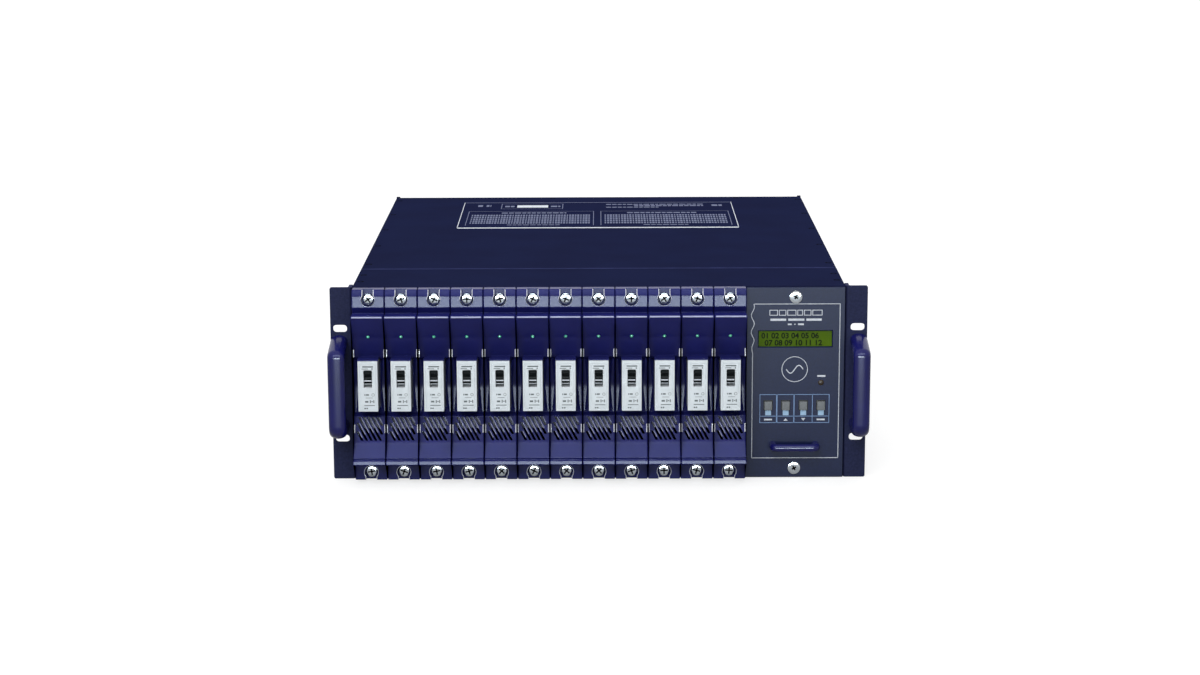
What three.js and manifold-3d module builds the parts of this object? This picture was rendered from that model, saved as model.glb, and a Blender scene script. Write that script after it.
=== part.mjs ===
// Dimmer pack for stage lighting: a 19-inch, four unit case with twelve plug-in dimmer modules,
// a plug-in control module, rack ears with bow handles, a rear fan and the rear connections.
// Millimetres, +Z up, the front faces -Y. While the pieces are made, X is zero in the middle,
// Y is zero at the front face of the rack ears and Z is zero at the bottom. The finished group is
// moved along Y so that its origin is the middle of the base of its bounding box.

import * as THREE from 'three';
import * as BufferGeometryUtils from 'three/addons/utils/BufferGeometryUtils.js';
import Module from 'manifold-3d';

const wasm = await Module();
wasm.setup();

// Driving dimensions: the rack standard
const rackUnit = 44.45;
const unitCount = 4;
const stackClearance = 0.8;
const packHeight = rackUnit * unitCount - stackClearance;
const slotSpan = 465.1;
const slotEdge = 8.75;
const earSpan = slotSpan + 2 * slotEdge;
const slotRise = 101.6;
const slotLength = 12.6;
const slotHeight = 6.8;

// Driving dimensions: the case
const earOverhang = 20.3;
const caseWidth = earSpan - 2 * earOverhang;
const caseDepth = 520;
const sheet = 1.5;
const floorSheet = 2;
const fitGap = 0.3;
const joinDepth = 0.4;
const overrun = 2;
const bottomRailHeight = 16.4;
const topRailDrop = 20;
const railDepth = 18;
const stripDepth = 87.3;
const guideStart = 280;
const wallFlange = 14;
const cornerTabWidth = 4;
const cornerTabRise = 1.2;
const ventSlotLength = 60;
const ventSlotHeight = 5;
const ventSlotPitch = 12;
const ventSlotRows = 5;
const ventColumnShares = [0.3, 0.5, 0.7];

// Driving dimensions: rack ears and their bow handles
const earSheet = 2.5;
const earLeg = 3.5;
const earLegDepth = 14;
const handleWidth = 15.4;
const handleHeight = 89;
const handleReach = 38;
const handleArm = 12;
const handleBar = 11;
const handleTopDrop = 7;
const handleTopBevel = 4;
const handleFootRadius = 10;

// Driving dimensions: the dimmer modules and their moulded fascias
const moduleCount = 12;
const moduleGap = 0.5;
const fasciaInset = 0.2;
const controlWidth = 88.5;
const modulePitch = (caseWidth - moduleGap - fasciaInset - controlWidth) / moduleCount;
const moduleWidth = modulePitch - moduleGap;
const moduleDepth = 300;
const fasciaFoot = 2.5;
const fasciaWall = 2.2;
const edgeReach = 10;
const crownReach = 13;
const ledgeReach = 28;
const creaseReach = 17.5;
const browReach = 11;
const cheekReach = 6.5;
const ventTopReach = 15;
const ventFootReach = 22;
const noseReach = 33;
const bandReach = 31;
const landReach = 14;
const ledgeLip = 1.3;
const beadHeight = 3.3;
const screwInset = 9.5;
const screwPocketRadius = 6.2;
const screwSlotWidth = 9.6;
const screwPocketFloor = 1.8;
const louvreWidth = 2.3;
const louvrePitch = 4.1;
const louvreSlope = 0.53;
const louvreMargin = 2.4;
const louvreClear = 1.6;

// Heights of the fascia's features, as shares of the fascia's height, chosen from the photograph
const chamferShare = 0.969;
const ledgeShare = 0.8767;
const creaseShare = 0.7573;
const browShare = 0.6477;
const cheekTopShare = 0.6345;
const cheekFootShare = 0.3528;
const ventTopShare = 0.3414;
const ventFootShare = 0.21;
const bandTopShare = 0.1366;
const beadFootShare = 0.1061;
const landShare = 0.0803;

// Driving dimensions: the inside of a dimmer module
const traySheet = 1.2;
const trayInset = 1.2;
const sinkStart = 62;
const sinkLength = 122;
const sinkHeight = 100;
const sinkFoot = 44;
const sinkWallGap = 7.9;
const sinkWidth = moduleWidth - sinkWallGap;
const sinkBase = 4;
const finCount = 6;
const finSheet = 2.4;
const chokeRadius = 24;
const chokeBore = 10;
const chokeWallGap = 9.9;
const chokeWidth = moduleWidth - chokeWallGap;
const chokeCentreY = 214;
const chokeCentreZ = 64;
const plugLength = 32;
const plugWidth = 18;
const plugHeight = 80;
const plugFoot = 48;
const railBlockDepth = 7;
const railBlockHeight = 35;

// Driving dimensions: the circuit breakers and their toggles
const breakerWidth = 17.7;
const noseHeight = 46;
const noseFace = 29;
const breakerCentreZ = 92.5;
const breakerBodyHeight = 80;
const breakerShoulder = 1.2;
const breakerDepth = 44;
const toggleWindowWidth = 7.6;
const toggleWindowHeight = 15.6;
const toggleWindowRise = 6.8;
const toggleWindowDepth = 12.4;
const togglePivotDepth = 6.4;
const toggleHubRadius = 5.2;
const toggleReach = 11.6;
const toggleThickness = 3.4;
const toggleAngle = THREE.MathUtils.degToRad(38);

// Driving dimensions: the control module
const panelSheet = 2;
const panelFoot = 0.8;
const boardFront = 7;
const boardSheet = 1.6;
const lcdWidth = 65.4;
const lcdHeight = 14;
const lcdCentreZ = 128.9;
const lcdRecess = 0.9;
const lcdFrameWidth = 80;
const lcdFrameHeight = 36;
const keyWidth = 7.1;
const keyHeight = 8.2;
const keyPitch = 15.87;
const keyCentreZ = 67.4;
const keyProud = 1.5;
const keyTravel = 1.2;
const keyFlange = 0.8;
const keyFlangeSheet = 1.2;
const keyCount = 4;
const statusHoleRadius = 2.2;
const statusOffset = 23.6;
const statusHeight = 89;
const pullWidth = 45.3;
const pullBar = 6.6;
const pullReach = 18;
const pullRadius = 7;
const pullHeight = 31;
const transformerWidth = 58;
const transformerDepth = 50;
const transformerHeight = 52;
const transformerStart = 150;

// Driving dimensions: the backplane
const backplaneSheet = 2;
const backplaneTop = 150;
const socketBlockDepth = 6;

// Driving dimensions: the fan and the rear connections
const fanSize = 120;
const fanDepth = 25;
const fanBoreRadius = 57.5;
const fanCentreZ = 88.5;
const fanHubRadius = 19.5;
const fanMotorSheet = 4;
const fanStrutWidth = 6;
const bladeCount = 7;
const bladeChord = 22;
const bladeSheet = 1.6;
const bladePitch = THREE.MathUtils.degToRad(38);
const bladeClearance = 1.5;
const grilleRib = 3.2;
const grilleSlot = 5.2;
const outletFlange = 56;
const outletFlangeSheet = 3;
const outletRadius = 22;
const outletReach = 15;
const outletBoreRadius = 18.5;
const outletBodyDepth = 26;
const outletCentreZ = 112;
const glandCentreZ = 62;
const glandThreadRadius = 16;
const glandHexRadius = 24;
const glandHexDepth = 8;
const glandNutRadius = 20.5;
const glandTipRadius = 14;
const glandReach = 30;
const glandBoreRadius = 9.5;
const glandBoreDepth = 24;
const glandThreadDepth = 18;
const dataFlangeWidth = 26;
const dataFlangeHeight = 31;
const dataFlangeSheet = 2;
const dataBarrelRadius = 11.8;
const dataBarrelReach = 9;
const dataBoreRadius = 9.4;
const dataBoreDepth = 7.5;
const dataCentres = [130, 84];

// Numbers of facets on round pieces
const roundSides = 20;
const smallSides = 12;
const hexSides = 6;
const arcSteps = 4;

// Places that follow from the sizes
const halfCase = caseWidth / 2;
const wallInside = halfCase - sheet - fitGap;
const coverUnder = packHeight - sheet;
const topRailFoot = packHeight - topRailDrop;
const rearInside = caseDepth - sheet;
const frontBack = -fitGap;
const modulesLeft = -halfCase + moduleGap;
const controlLeft = modulesLeft + moduleCount * modulePitch;
const controlRight = controlLeft + controlWidth;
const controlCentre = (controlLeft + controlRight) / 2;
const trayFoot = bottomRailHeight + fitGap;
const trayHead = topRailFoot - fitGap;
const trayInside = trayInset + traySheet;
const fasciaTop = packHeight - fasciaInset;
const fasciaHeight = fasciaTop - fasciaFoot;

// Places along the rear panel: the connections and the fan stand in a row, and the width that they
// leave free is shared out between them
const rearWidths = [2 * glandHexRadius, outletFlange, outletFlange, dataFlangeWidth, fanSize];
const rearGapShares = [0.1767, 0.2105, 0.1053, 0.218, 0.2331];
const rearFree = rearWidths.reduce((free, width) => free - width, caseWidth - 2 * sheet);
const rearCentres = rearWidths.map((width, index) => {
  const before = rearWidths.slice(0, index).reduce((sum, earlier) => sum + earlier, sheet - halfCase);
  const gaps = rearGapShares.slice(0, index + 1).reduce((sum, share) => sum + share * rearFree, 0);
  return before + gaps + width / 2;
});
const [glandCentreX, outletLeftX, outletRightX, dataCentreX, fanCentreX] = rearCentres;
const outletCentres = [outletLeftX, outletRightX];

// Colours of the finishes
const finishes = {
  caseSteel: { color: 0x2b3050, roughness: 0.55, metalness: 0.2 },
  earSteel: { color: 0x3c3e5f, roughness: 0.6, metalness: 0.2 },
  gloss: { color: 0x1e1e4e, roughness: 0.25, metalness: 0 },
  offWhite: { color: 0xd2dae0, roughness: 0.45, metalness: 0 },
  black: { color: 0x1d2326, roughness: 0.4, metalness: 0 },
  panel: { color: 0x32364f, roughness: 0.6, metalness: 0.2 },
  zinc: { color: 0xb4b8be, roughness: 0.4, metalness: 0.9 },
  board: { color: 0x2f6b3c, roughness: 0.6, metalness: 0 },
  display: { color: 0x507d19, roughness: 0.2, metalness: 0 },
  keyGrey: { color: 0x9aa0aa, roughness: 0.5, metalness: 0 },
};

// Turns a three.js geometry into a solid that can be cut and joined
function solid(geometry) {
  geometry.deleteAttribute('normal');
  geometry.deleteAttribute('uv');
  const merged = BufferGeometryUtils.mergeVertices(geometry);
  return new wasm.Manifold(new wasm.Mesh({
    numProp: 3,
    vertProperties: merged.attributes.position.array,
    triVerts: new Uint32Array(merged.index.array),
  }));
}

// Turns a solid back into a three.js geometry
function geometryOf(body) {
  const mesh = body.getMesh();
  const geometry = new THREE.BufferGeometry();
  geometry.setAttribute('position', new THREE.BufferAttribute(mesh.vertProperties, 3));
  geometry.setIndex(new THREE.BufferAttribute(mesh.triVerts, 1));
  const flat = geometry.toNonIndexed();
  flat.computeVertexNormals();
  return flat;
}

// A block between two corners
function block(x0, x1, y0, y1, z0, z1) {
  const geometry = new THREE.BoxGeometry(x1 - x0, y1 - y0, z1 - z0);
  geometry.translate((x0 + x1) / 2, (y0 + y1) / 2, (z0 + z1) / 2);
  return solid(geometry);
}

function outlineGeometry(points, depth) {
  const shape = new THREE.Shape(points.map(([u, v]) => new THREE.Vector2(u, v)));
  return new THREE.ExtrudeGeometry(shape, { depth, bevelEnabled: false });
}

// An outline of [y, z] points carried along X
function alongX(points, x0, x1) {
  const geometry = outlineGeometry(points, x1 - x0);
  geometry.applyMatrix4(new THREE.Matrix4().set(0, 0, 1, x0, 1, 0, 0, 0, 0, 1, 0, 0, 0, 0, 0, 1));
  return solid(geometry);
}

// An outline of [z, x] points carried along Y
function alongY(points, y0, y1) {
  const geometry = outlineGeometry(points, y1 - y0);
  geometry.applyMatrix4(new THREE.Matrix4().set(0, 1, 0, 0, 0, 0, 1, y0, 1, 0, 0, 0, 0, 0, 0, 1));
  return solid(geometry);
}

// An outline of [x, y] points carried along Z
function alongZ(points, z0, z1) {
  const geometry = outlineGeometry(points, z1 - z0);
  geometry.translate(0, 0, z0);
  return solid(geometry);
}

// A round bar along Y, narrower at its far end where a second radius is given
function barAlongY(x, z, y0, y1, radius, sides, farRadius = radius) {
  const geometry = new THREE.CylinderGeometry(farRadius, radius, y1 - y0, sides);
  geometry.translate(x, (y0 + y1) / 2, z);
  return solid(geometry);
}

// A round bar along X
function barAlongX(y, z, x0, x1, radius, sides) {
  const geometry = new THREE.CylinderGeometry(radius, radius, x1 - x0, sides);
  geometry.rotateZ(Math.PI / 2);
  geometry.translate((x0 + x1) / 2, y, z);
  return solid(geometry);
}

function joined(bodies) {
  return bodies.reduce((whole, body) => whole.add(body));
}

function cut(body, cutters) {
  return cutters.reduce((rest, cutter) => rest.subtract(cutter), body);
}

// Points on an arc of an outline, its first and last ones included
function arc(u, v, radius, from, to, steps) {
  return Array.from({ length: steps + 1 }, (_, step) => {
    const angle = from + (to - from) * step / steps;
    return [u + radius * Math.cos(angle), v + radius * Math.sin(angle)];
  });
}

// The unit vector that points into an outline from its edge between two points
function inward(start, end, turn) {
  const edge = new THREE.Vector2(end[0] - start[0], end[1] - start[1]).normalize();
  return new THREE.Vector2(-edge.y * turn, edge.x * turn);
}

// An outline drawn again at a distance inside itself, which is how a wall gets its thickness
function inset(points, distance) {
  const turn = Math.sign(THREE.ShapeUtils.area(points.map(([u, v]) => new THREE.Vector2(u, v))));
  return points.map((point, index) => {
    const before = inward(points.at(index - 1), point, turn);
    const after = inward(point, points[(index + 1) % points.length], turn);
    const stretch = distance / (1 + before.dot(after));
    return [point[0] + (before.x + after.x) * stretch, point[1] + (before.y + after.y) * stretch];
  });
}

const pack = new THREE.Group();

function place(name, body, finish, parent = pack) {
  const material = new THREE.MeshStandardMaterial(finishes[finish]);
  const mesh = new THREE.Mesh(geometryOf(body), material);
  mesh.name = name;
  parent.add(mesh);
}

// The floor of the case, with the front rail that the modules are screwed to and a rear guide rail
function basePlate() {
  const floor = block(-halfCase, halfCase, 0, caseDepth, 0, floorSheet);
  const hook = (y) => alongX([
    [y, 0],
    [y + sheet, 0],
    [y + sheet, bottomRailHeight - sheet],
    [y + railDepth, bottomRailHeight - sheet],
    [y + railDepth, bottomRailHeight],
    [y, bottomRailHeight],
  ], -wallInside, wallInside);
  return joined([floor, hook(0), hook(guideStart)]);
}

// A side wall with its inward top flange and three columns of ventilation slots
function sideWall(side) {
  const ends = (inner, outer) => [
    Math.min(side * inner, side * outer),
    Math.max(side * inner, side * outer),
  ];
  const top = coverUnder - fitGap;
  const rear = rearInside - fitGap;
  const web = block(...ends(halfCase - sheet, halfCase), 0, rear, floorSheet + fitGap, top);
  const flange = block(
    ...ends(halfCase - wallFlange, halfCase),
    railDepth + fitGap, rear,
    top - sheet, top,
  );
  const slots = [];
  for (const share of ventColumnShares) {
    for (let row = 0; row < ventSlotRows; row += 1) {
      const y = caseDepth * share;
      const z = packHeight / 2 + (row - (ventSlotRows - 1) / 2) * ventSlotPitch;
      slots.push(block(
        ...ends(halfCase - sheet - overrun, halfCase + overrun),
        y - ventSlotLength / 2, y + ventSlotLength / 2,
        z - ventSlotHeight / 2, z + ventSlotHeight / 2,
      ));
    }
  }
  return cut(joined([web, flange]), slots);
}

// The front strip of the top, folded down into the rail for the modules' upper screws
function frontTopStrip() {
  const top = block(-halfCase, halfCase, 0, stripDepth, coverUnder, packHeight);
  const rail = alongX([
    [0, packHeight],
    [0, topRailFoot],
    [railDepth, topRailFoot],
    [railDepth, topRailFoot + sheet],
    [sheet, topRailFoot + sheet],
    [sheet, packHeight],
  ], -wallInside, wallInside);
  return joined([top, rail]);
}

function topCover() {
  return block(-halfCase, halfCase, stripDepth + fitGap, rearInside - fitGap, coverUnder, packHeight);
}

// A round data socket's flange and barrel, standing on the rear panel
function dataSocket(z) {
  const y = caseDepth - joinDepth;
  return joined([
    block(
      dataCentreX - dataFlangeWidth / 2, dataCentreX + dataFlangeWidth / 2,
      y, caseDepth + dataFlangeSheet,
      z - dataFlangeHeight / 2, z + dataFlangeHeight / 2,
    ),
    barAlongY(dataCentreX, z, y, caseDepth + dataBarrelReach, dataBarrelRadius, roundSides),
  ]);
}

function dataSocketBore(z) {
  const mouth = caseDepth + dataBarrelReach;
  return barAlongY(dataCentreX, z, mouth - dataBoreDepth, mouth + overrun, dataBoreRadius, roundSides);
}

// The grille in front of the fan: level slots, each as long as the fan's circle lets it be
function grilleSlots() {
  const radius = fanBoreRadius - grilleRib;
  const pitch = grilleRib + grilleSlot;
  const rows = Math.floor((radius - grilleSlot) / pitch);
  const slots = [];
  for (let row = -rows; row <= rows; row += 1) {
    const z = fanCentreZ + row * pitch;
    const half = Math.sqrt(radius ** 2 - (Math.abs(row) * pitch + grilleSlot / 2) ** 2);
    slots.push(block(
      fanCentreX - half, fanCentreX + half,
      rearInside - overrun, caseDepth + overrun,
      z - grilleSlot / 2, z + grilleSlot / 2,
    ));
  }
  return slots;
}

// The rear panel, with upstanding corners behind the cover
function rearPanel() {
  const corner = (x0) => block(
    x0, x0 + cornerTabWidth,
    rearInside, caseDepth,
    packHeight - joinDepth, packHeight + cornerTabRise,
  );
  const plate = joined([
    block(-halfCase, halfCase, rearInside, caseDepth, floorSheet + fitGap, packHeight),
    corner(-halfCase),
    corner(halfCase - cornerTabWidth),
    ...dataCentres.map(dataSocket),
  ]);
  const hole = (x, z, radius) => barAlongY(
    x, z, rearInside - overrun, caseDepth + overrun, radius + fitGap, roundSides,
  );
  return cut(plate, [
    ...outletCentres.map((x) => hole(x, outletCentreZ, outletRadius)),
    hole(glandCentreX, glandCentreZ, glandThreadRadius),
    ...dataCentres.map(dataSocketBore),
    ...grilleSlots(),
  ]);
}

// A rack ear: an angle with its leg against the side wall and two level slots in its flange
function rackEar(side) {
  const inner = halfCase + fitGap;
  const outer = earSpan / 2;
  const outline = [
    [inner, 0],
    [outer, 0],
    [outer, earSheet],
    [inner + earLeg, earSheet],
    [inner + earLeg, earLegDepth],
    [inner, earLegDepth],
  ].map(([x, y]) => [side * x, y]);
  const straight = (slotLength - slotHeight) / 2;
  const slots = [-1, 1].map((end) => {
    const x = side * slotSpan / 2;
    const z = packHeight / 2 + end * slotRise / 2;
    const half = slotHeight / 2;
    return joined([
      block(x - straight, x + straight, -overrun, earSheet + overrun, z - half, z + half),
      barAlongY(x - straight, z, -overrun, earSheet + overrun, half, smallSides),
      barAlongY(x + straight, z, -overrun, earSheet + overrun, half, smallSides),
    ]);
  });
  return cut(alongZ(outline, 0, packHeight), slots);
}

// A bow handle, seen from the side: its top arm falls forwards and its lower front corner is round
function rackHandle(side) {
  const top = (packHeight + handleHeight) / 2;
  const foot = (packHeight - handleHeight) / 2;
  const shoulder = top - handleTopDrop;
  const inside = handleReach - handleBar;
  const outline = [
    [frontBack, top],
    [handleTopBevel - handleReach, shoulder],
    [-handleReach, shoulder - handleTopBevel],
    ...arc(
      handleFootRadius - handleReach, foot + handleFootRadius,
      handleFootRadius, Math.PI, Math.PI * 1.5, arcSteps,
    ),
    [frontBack, foot],
    [frontBack, foot + handleArm],
    [-inside, foot + handleArm + handleTopBevel],
    [-inside, shoulder - handleArm],
    [frontBack, top - handleArm],
  ];
  const outer = side * earSpan / 2;
  const inner = side * (earSpan / 2 - handleWidth);
  return alongX(outline, Math.min(outer, inner), Math.max(outer, inner));
}

// The height of a feature of the fascia, from its share
function fasciaZ(share) {
  return fasciaFoot + share * fasciaHeight;
}

// The outline of a fascia from the ledge down to the land of its lower screw. The ledge's lip and the
// bead on the nose are smaller than the wall is thick, so the hollow behind them goes without.
function fasciaFront(lip, bead) {
  const cheekEnd = (cheekReach + browReach) / 2;
  return [
    [-ledgeReach, fasciaZ(ledgeShare)],
    ...lip,
    [-creaseReach, fasciaZ(creaseShare)],
    [-browReach, fasciaZ(browShare)],
    [-cheekEnd, fasciaZ(cheekTopShare)],
    [-cheekReach, fasciaZ((cheekTopShare + cheekFootShare) / 2)],
    [-cheekEnd, fasciaZ(cheekFootShare)],
    [-ventTopReach, fasciaZ(ventTopShare)],
    [-ventFootReach, fasciaZ(ventFootShare)],
    [-bandReach, fasciaZ(bandTopShare)],
    ...bead,
    [-noseReach, fasciaZ(beadFootShare)],
    [-landReach, fasciaZ(landShare)],
  ];
}

// A keyhole pocket for a screw head, open towards the fascia's nearer end
function screwPocket(screwZ, openZ) {
  const x = moduleWidth / 2;
  const half = screwSlotWidth / 2;
  const y0 = -crownReach - landReach;
  const y1 = -screwPocketFloor;
  const low = Math.min(screwZ, openZ);
  const high = Math.max(screwZ, openZ);
  return joined([
    barAlongY(x, screwZ, y0, y1, screwPocketRadius, smallSides),
    block(x - half, x + half, y0, y1, low, high),
  ]);
}

// The slanted air slots under the breaker, cut off at the sides of their field
function louvres() {
  const z0 = fasciaZ(ventFootShare) + louvreClear;
  const z1 = fasciaZ(ventTopShare) - louvreClear;
  const left = louvreMargin;
  const right = moduleWidth - louvreMargin;
  const lean = (z1 - z0) * louvreSlope;
  const field = block(left, right, -noseReach, -overrun, z0, z1);
  const slots = [];
  for (let x = left + louvreWidth; x - lean + louvreWidth / 2 < right; x += louvrePitch) {
    const half = louvreWidth / 2;
    const slot = alongY([
      [z0 - overrun, x + overrun * louvreSlope - half],
      [z0 - overrun, x + overrun * louvreSlope + half],
      [z1 + overrun, x - lean - overrun * louvreSlope + half],
      [z1 + overrun, x - lean - overrun * louvreSlope - half],
    ], -noseReach, -overrun);
    slots.push(slot.intersect(field));
  }
  return slots;
}

// The moulded fascia, as a shell that is open at the back
function fascia() {
  const ledge = fasciaZ(ledgeShare);
  const beadTop = fasciaZ(beadFootShare) + beadHeight;
  const lip = [[-ledgeReach, ledge - ledgeLip]];
  const bead = [[-bandReach, beadTop], [-noseReach, beadTop]];
  const outline = [
    [frontBack, fasciaTop],
    [-edgeReach, fasciaTop],
    [-crownReach, fasciaZ(chamferShare)],
    [-edgeReach, ledge],
    ...fasciaFront(lip, bead),
    [-landReach, fasciaFoot],
    [frontBack, fasciaFoot],
  ];
  const open = overrun + fasciaWall;
  const core = [[open, ledge], ...fasciaFront([], []), [open, fasciaZ(landShare)]];
  const hollow = inset(core, fasciaWall);
  const x = moduleWidth / 2;
  const windowHalf = breakerWidth / 2 + fitGap;
  const windowRise = noseHeight / 2 + fitGap;
  return cut(alongX(outline, 0, moduleWidth), [
    alongX(hollow, fasciaWall, moduleWidth - fasciaWall),
    block(
      x - windowHalf, x + windowHalf,
      -noseReach, overrun,
      breakerCentreZ - windowRise, breakerCentreZ + windowRise,
    ),
    screwPocket(packHeight - screwInset, fasciaTop + overrun),
    screwPocket(screwInset, fasciaFoot - overrun),
    ...louvres(),
  ]);
}

// The sheet that carries a module's electronics: a side plate with a floor and a folded top edge
function tray(left, right, front) {
  return joined([
    block(left, left + traySheet, front, moduleDepth, trayFoot, trayHead),
    block(left, right, front, moduleDepth, trayFoot, trayFoot + traySheet),
    block(left, left + screwSlotWidth, front, moduleDepth, trayHead - traySheet, trayHead),
  ]);
}

function heatSink() {
  const x0 = trayInside - joinDepth;
  const pitch = (sinkHeight - finSheet) / (finCount - 1);
  const end = sinkStart + sinkLength;
  const base = block(x0, x0 + sinkBase, sinkStart, end, sinkFoot, sinkFoot + sinkHeight);
  const fins = Array.from({ length: finCount }, (_, index) => {
    const z = sinkFoot + index * pitch;
    return block(x0, x0 + sinkWidth, sinkStart, end, z, z + finSheet);
  });
  return joined([base, ...fins]);
}

// The wound ring core that slows the switching edge, lying against the side plate
function choke() {
  const half = chokeWidth / 2;
  const round = chokeWidth / 4;
  const profile = [
    [chokeBore, -half],
    [chokeRadius - round, -half],
    [chokeRadius, round - half],
    [chokeRadius, half - round],
    [chokeRadius - round, half],
    [chokeBore, half],
    [chokeBore, -half],
  ].map(([radius, height]) => new THREE.Vector2(radius, height));
  const geometry = new THREE.LatheGeometry(profile, smallSides);
  geometry.rotateZ(-Math.PI / 2);
  geometry.translate(trayInside - joinDepth + half, chokeCentreY, chokeCentreZ);
  return solid(geometry);
}

// The dimmer module without its breaker. The fascia is screwed to the tray for good, so they are one.
function dimmerModule() {
  const x0 = trayInside - joinDepth;
  const railFront = breakerShoulder + breakerDepth + fitGap;
  return joined([
    fascia(),
    tray(trayInset, moduleWidth - trayInset, -overrun),
    heatSink(),
    choke(),
    block(
      x0, (moduleWidth + plugWidth) / 2,
      moduleDepth - plugLength, moduleDepth,
      plugFoot, plugFoot + plugHeight,
    ),
    block(
      x0, (moduleWidth + breakerWidth) / 2,
      railFront, railFront + railBlockDepth,
      breakerCentreZ - railBlockHeight / 2, breakerCentreZ + railBlockHeight / 2,
    ),
  ]);
}

const toggleCentreZ = breakerCentreZ + toggleWindowRise;

// The circuit breaker: a nose through the fascia, a taller body behind it and the toggle's window
function breaker() {
  const x = moduleWidth / 2;
  const half = breakerWidth / 2;
  const rear = breakerShoulder + breakerDepth;
  const side = toggleWindowWidth / 2;
  const nose = block(
    x - half, x + half,
    -noseFace, rear,
    breakerCentreZ - noseHeight / 2, breakerCentreZ + noseHeight / 2,
  );
  const body = block(
    x - half, x + half,
    breakerShoulder, rear,
    breakerCentreZ - breakerBodyHeight / 2, breakerCentreZ + breakerBodyHeight / 2,
  );
  const window = block(
    x - side, x + side,
    -noseFace - overrun, toggleWindowDepth - noseFace,
    toggleCentreZ - toggleWindowHeight / 2, toggleCentreZ + toggleWindowHeight / 2,
  );
  return cut(joined([nose, body]), [window]);
}

// The toggle stands up, which is on. It turns about the axis of its hub.
function toggle() {
  const x = moduleWidth / 2;
  const half = toggleWindowWidth / 2 - fitGap;
  const pivotY = togglePivotDepth - noseFace;
  const lever = new THREE.BoxGeometry(2 * half, toggleReach, toggleThickness);
  lever.translate(0, -toggleReach / 2, 0);
  lever.rotateX(-toggleAngle);
  lever.translate(x, pivotY, toggleCentreZ);
  return joined([
    barAlongX(pivotY, toggleCentreZ, x - half, x + half, toggleHubRadius, smallSides),
    solid(lever),
  ]);
}

function keyX(index) {
  return controlCentre + (index - (keyCount - 1) / 2) * keyPitch;
}

// The flat steel front of the control module, with its display window, key holes and lamp hole
function controlPanel() {
  const front = frontBack - panelSheet;
  const plate = block(controlLeft, controlRight, front, frontBack, panelFoot, packHeight - panelFoot);
  const opening = (x, z, width, height) => block(
    x - width / 2 - fitGap, x + width / 2 + fitGap,
    front - overrun, frontBack + overrun,
    z - height / 2 - fitGap, z + height / 2 + fitGap,
  );
  const keyHoles = Array.from({ length: keyCount }, (_, index) => (
    opening(keyX(index), keyCentreZ, keyWidth, keyHeight)
  ));
  return cut(plate, [
    opening(controlCentre, lcdCentreZ, lcdWidth, lcdHeight),
    barAlongY(
      controlCentre + statusOffset, statusHeight,
      front - overrun, frontBack + overrun, statusHoleRadius, smallSides,
    ),
    ...keyHoles,
  ]);
}

// The tray behind the control panel, with its board, transformer and rear plug
function controlTray() {
  const left = controlLeft + trayInset;
  const right = wallInside - trayInset;
  return joined([
    tray(left, right, 0),
    block(left, right, boardFront, boardFront + boardSheet, trayFoot, trayHead),
    block(
      controlCentre - transformerWidth / 2, controlCentre + transformerWidth / 2,
      transformerStart, transformerStart + transformerDepth,
      trayFoot, trayFoot + transformerHeight,
    ),
    block(
      left, left + plugWidth,
      moduleDepth - plugLength, moduleDepth,
      plugFoot, plugFoot + plugHeight,
    ),
  ]);
}

function lcdDisplay() {
  const rear = boardFront - fitGap;
  const glass = frontBack - panelSheet + lcdRecess;
  return joined([
    block(
      controlCentre - lcdFrameWidth / 2, controlCentre + lcdFrameWidth / 2,
      0, rear,
      lcdCentreZ - lcdFrameHeight / 2, lcdCentreZ + lcdFrameHeight / 2,
    ),
    block(
      controlCentre - lcdWidth / 2, controlCentre + lcdWidth / 2,
      glass, rear,
      lcdCentreZ - lcdHeight / 2, lcdCentreZ + lcdHeight / 2,
    ),
  ]);
}

// A push key: its cap, the flange that keeps it behind the panel and its stem to the board
function pushKey() {
  const rear = boardFront - keyTravel - fitGap;
  return joined([
    block(
      -keyWidth / 2, keyWidth / 2,
      frontBack - panelSheet - keyProud, rear,
      -keyHeight / 2, keyHeight / 2,
    ),
    block(
      -keyWidth / 2 - keyFlange, keyWidth / 2 + keyFlange,
      0, keyFlangeSheet,
      -keyHeight / 2 - keyFlange, keyHeight / 2 + keyFlange,
    ),
  ]);
}

// The bow handle that pulls the control module out
function controlHandle() {
  const foot = frontBack - panelSheet - fitGap;
  const left = controlCentre - pullWidth / 2;
  const right = controlCentre + pullWidth / 2;
  const front = -pullReach;
  const inner = front + pullBar;
  const outline = [
    [left, foot],
    ...arc(left + pullRadius, front + pullRadius, pullRadius, Math.PI, Math.PI * 1.5, arcSteps),
    ...arc(right - pullRadius, front + pullRadius, pullRadius, Math.PI * 1.5, Math.PI * 2, arcSteps),
    [right, foot],
    [right - pullBar, foot],
    [right - pullBar, inner],
    [left + pullBar, inner],
    [left + pullBar, foot],
  ];
  return alongZ(outline, pullHeight - pullBar / 2, pullHeight + pullBar / 2);
}

// The board that the modules plug into, with one socket block for each
function backplane() {
  const blockFront = moduleDepth + fitGap;
  const board = blockFront + socketBlockDepth;
  const socket = (left, right) => block(
    left, right, blockFront, board + joinDepth, plugFoot, plugFoot + plugHeight,
  );
  const sockets = Array.from({ length: moduleCount }, (_, index) => {
    const centre = modulesLeft + index * modulePitch + moduleWidth / 2;
    return socket(centre - plugWidth / 2, centre + plugWidth / 2);
  });
  const controlSocket = controlLeft + trayInset;
  return joined([
    block(-wallInside, wallInside, board, board + backplaneSheet, floorSheet + fitGap, backplaneTop),
    ...sockets,
    socket(controlSocket, controlSocket + plugWidth),
  ]);
}

const fanRear = rearInside - fitGap;
const fanFront = fanRear - fanDepth;

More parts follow.
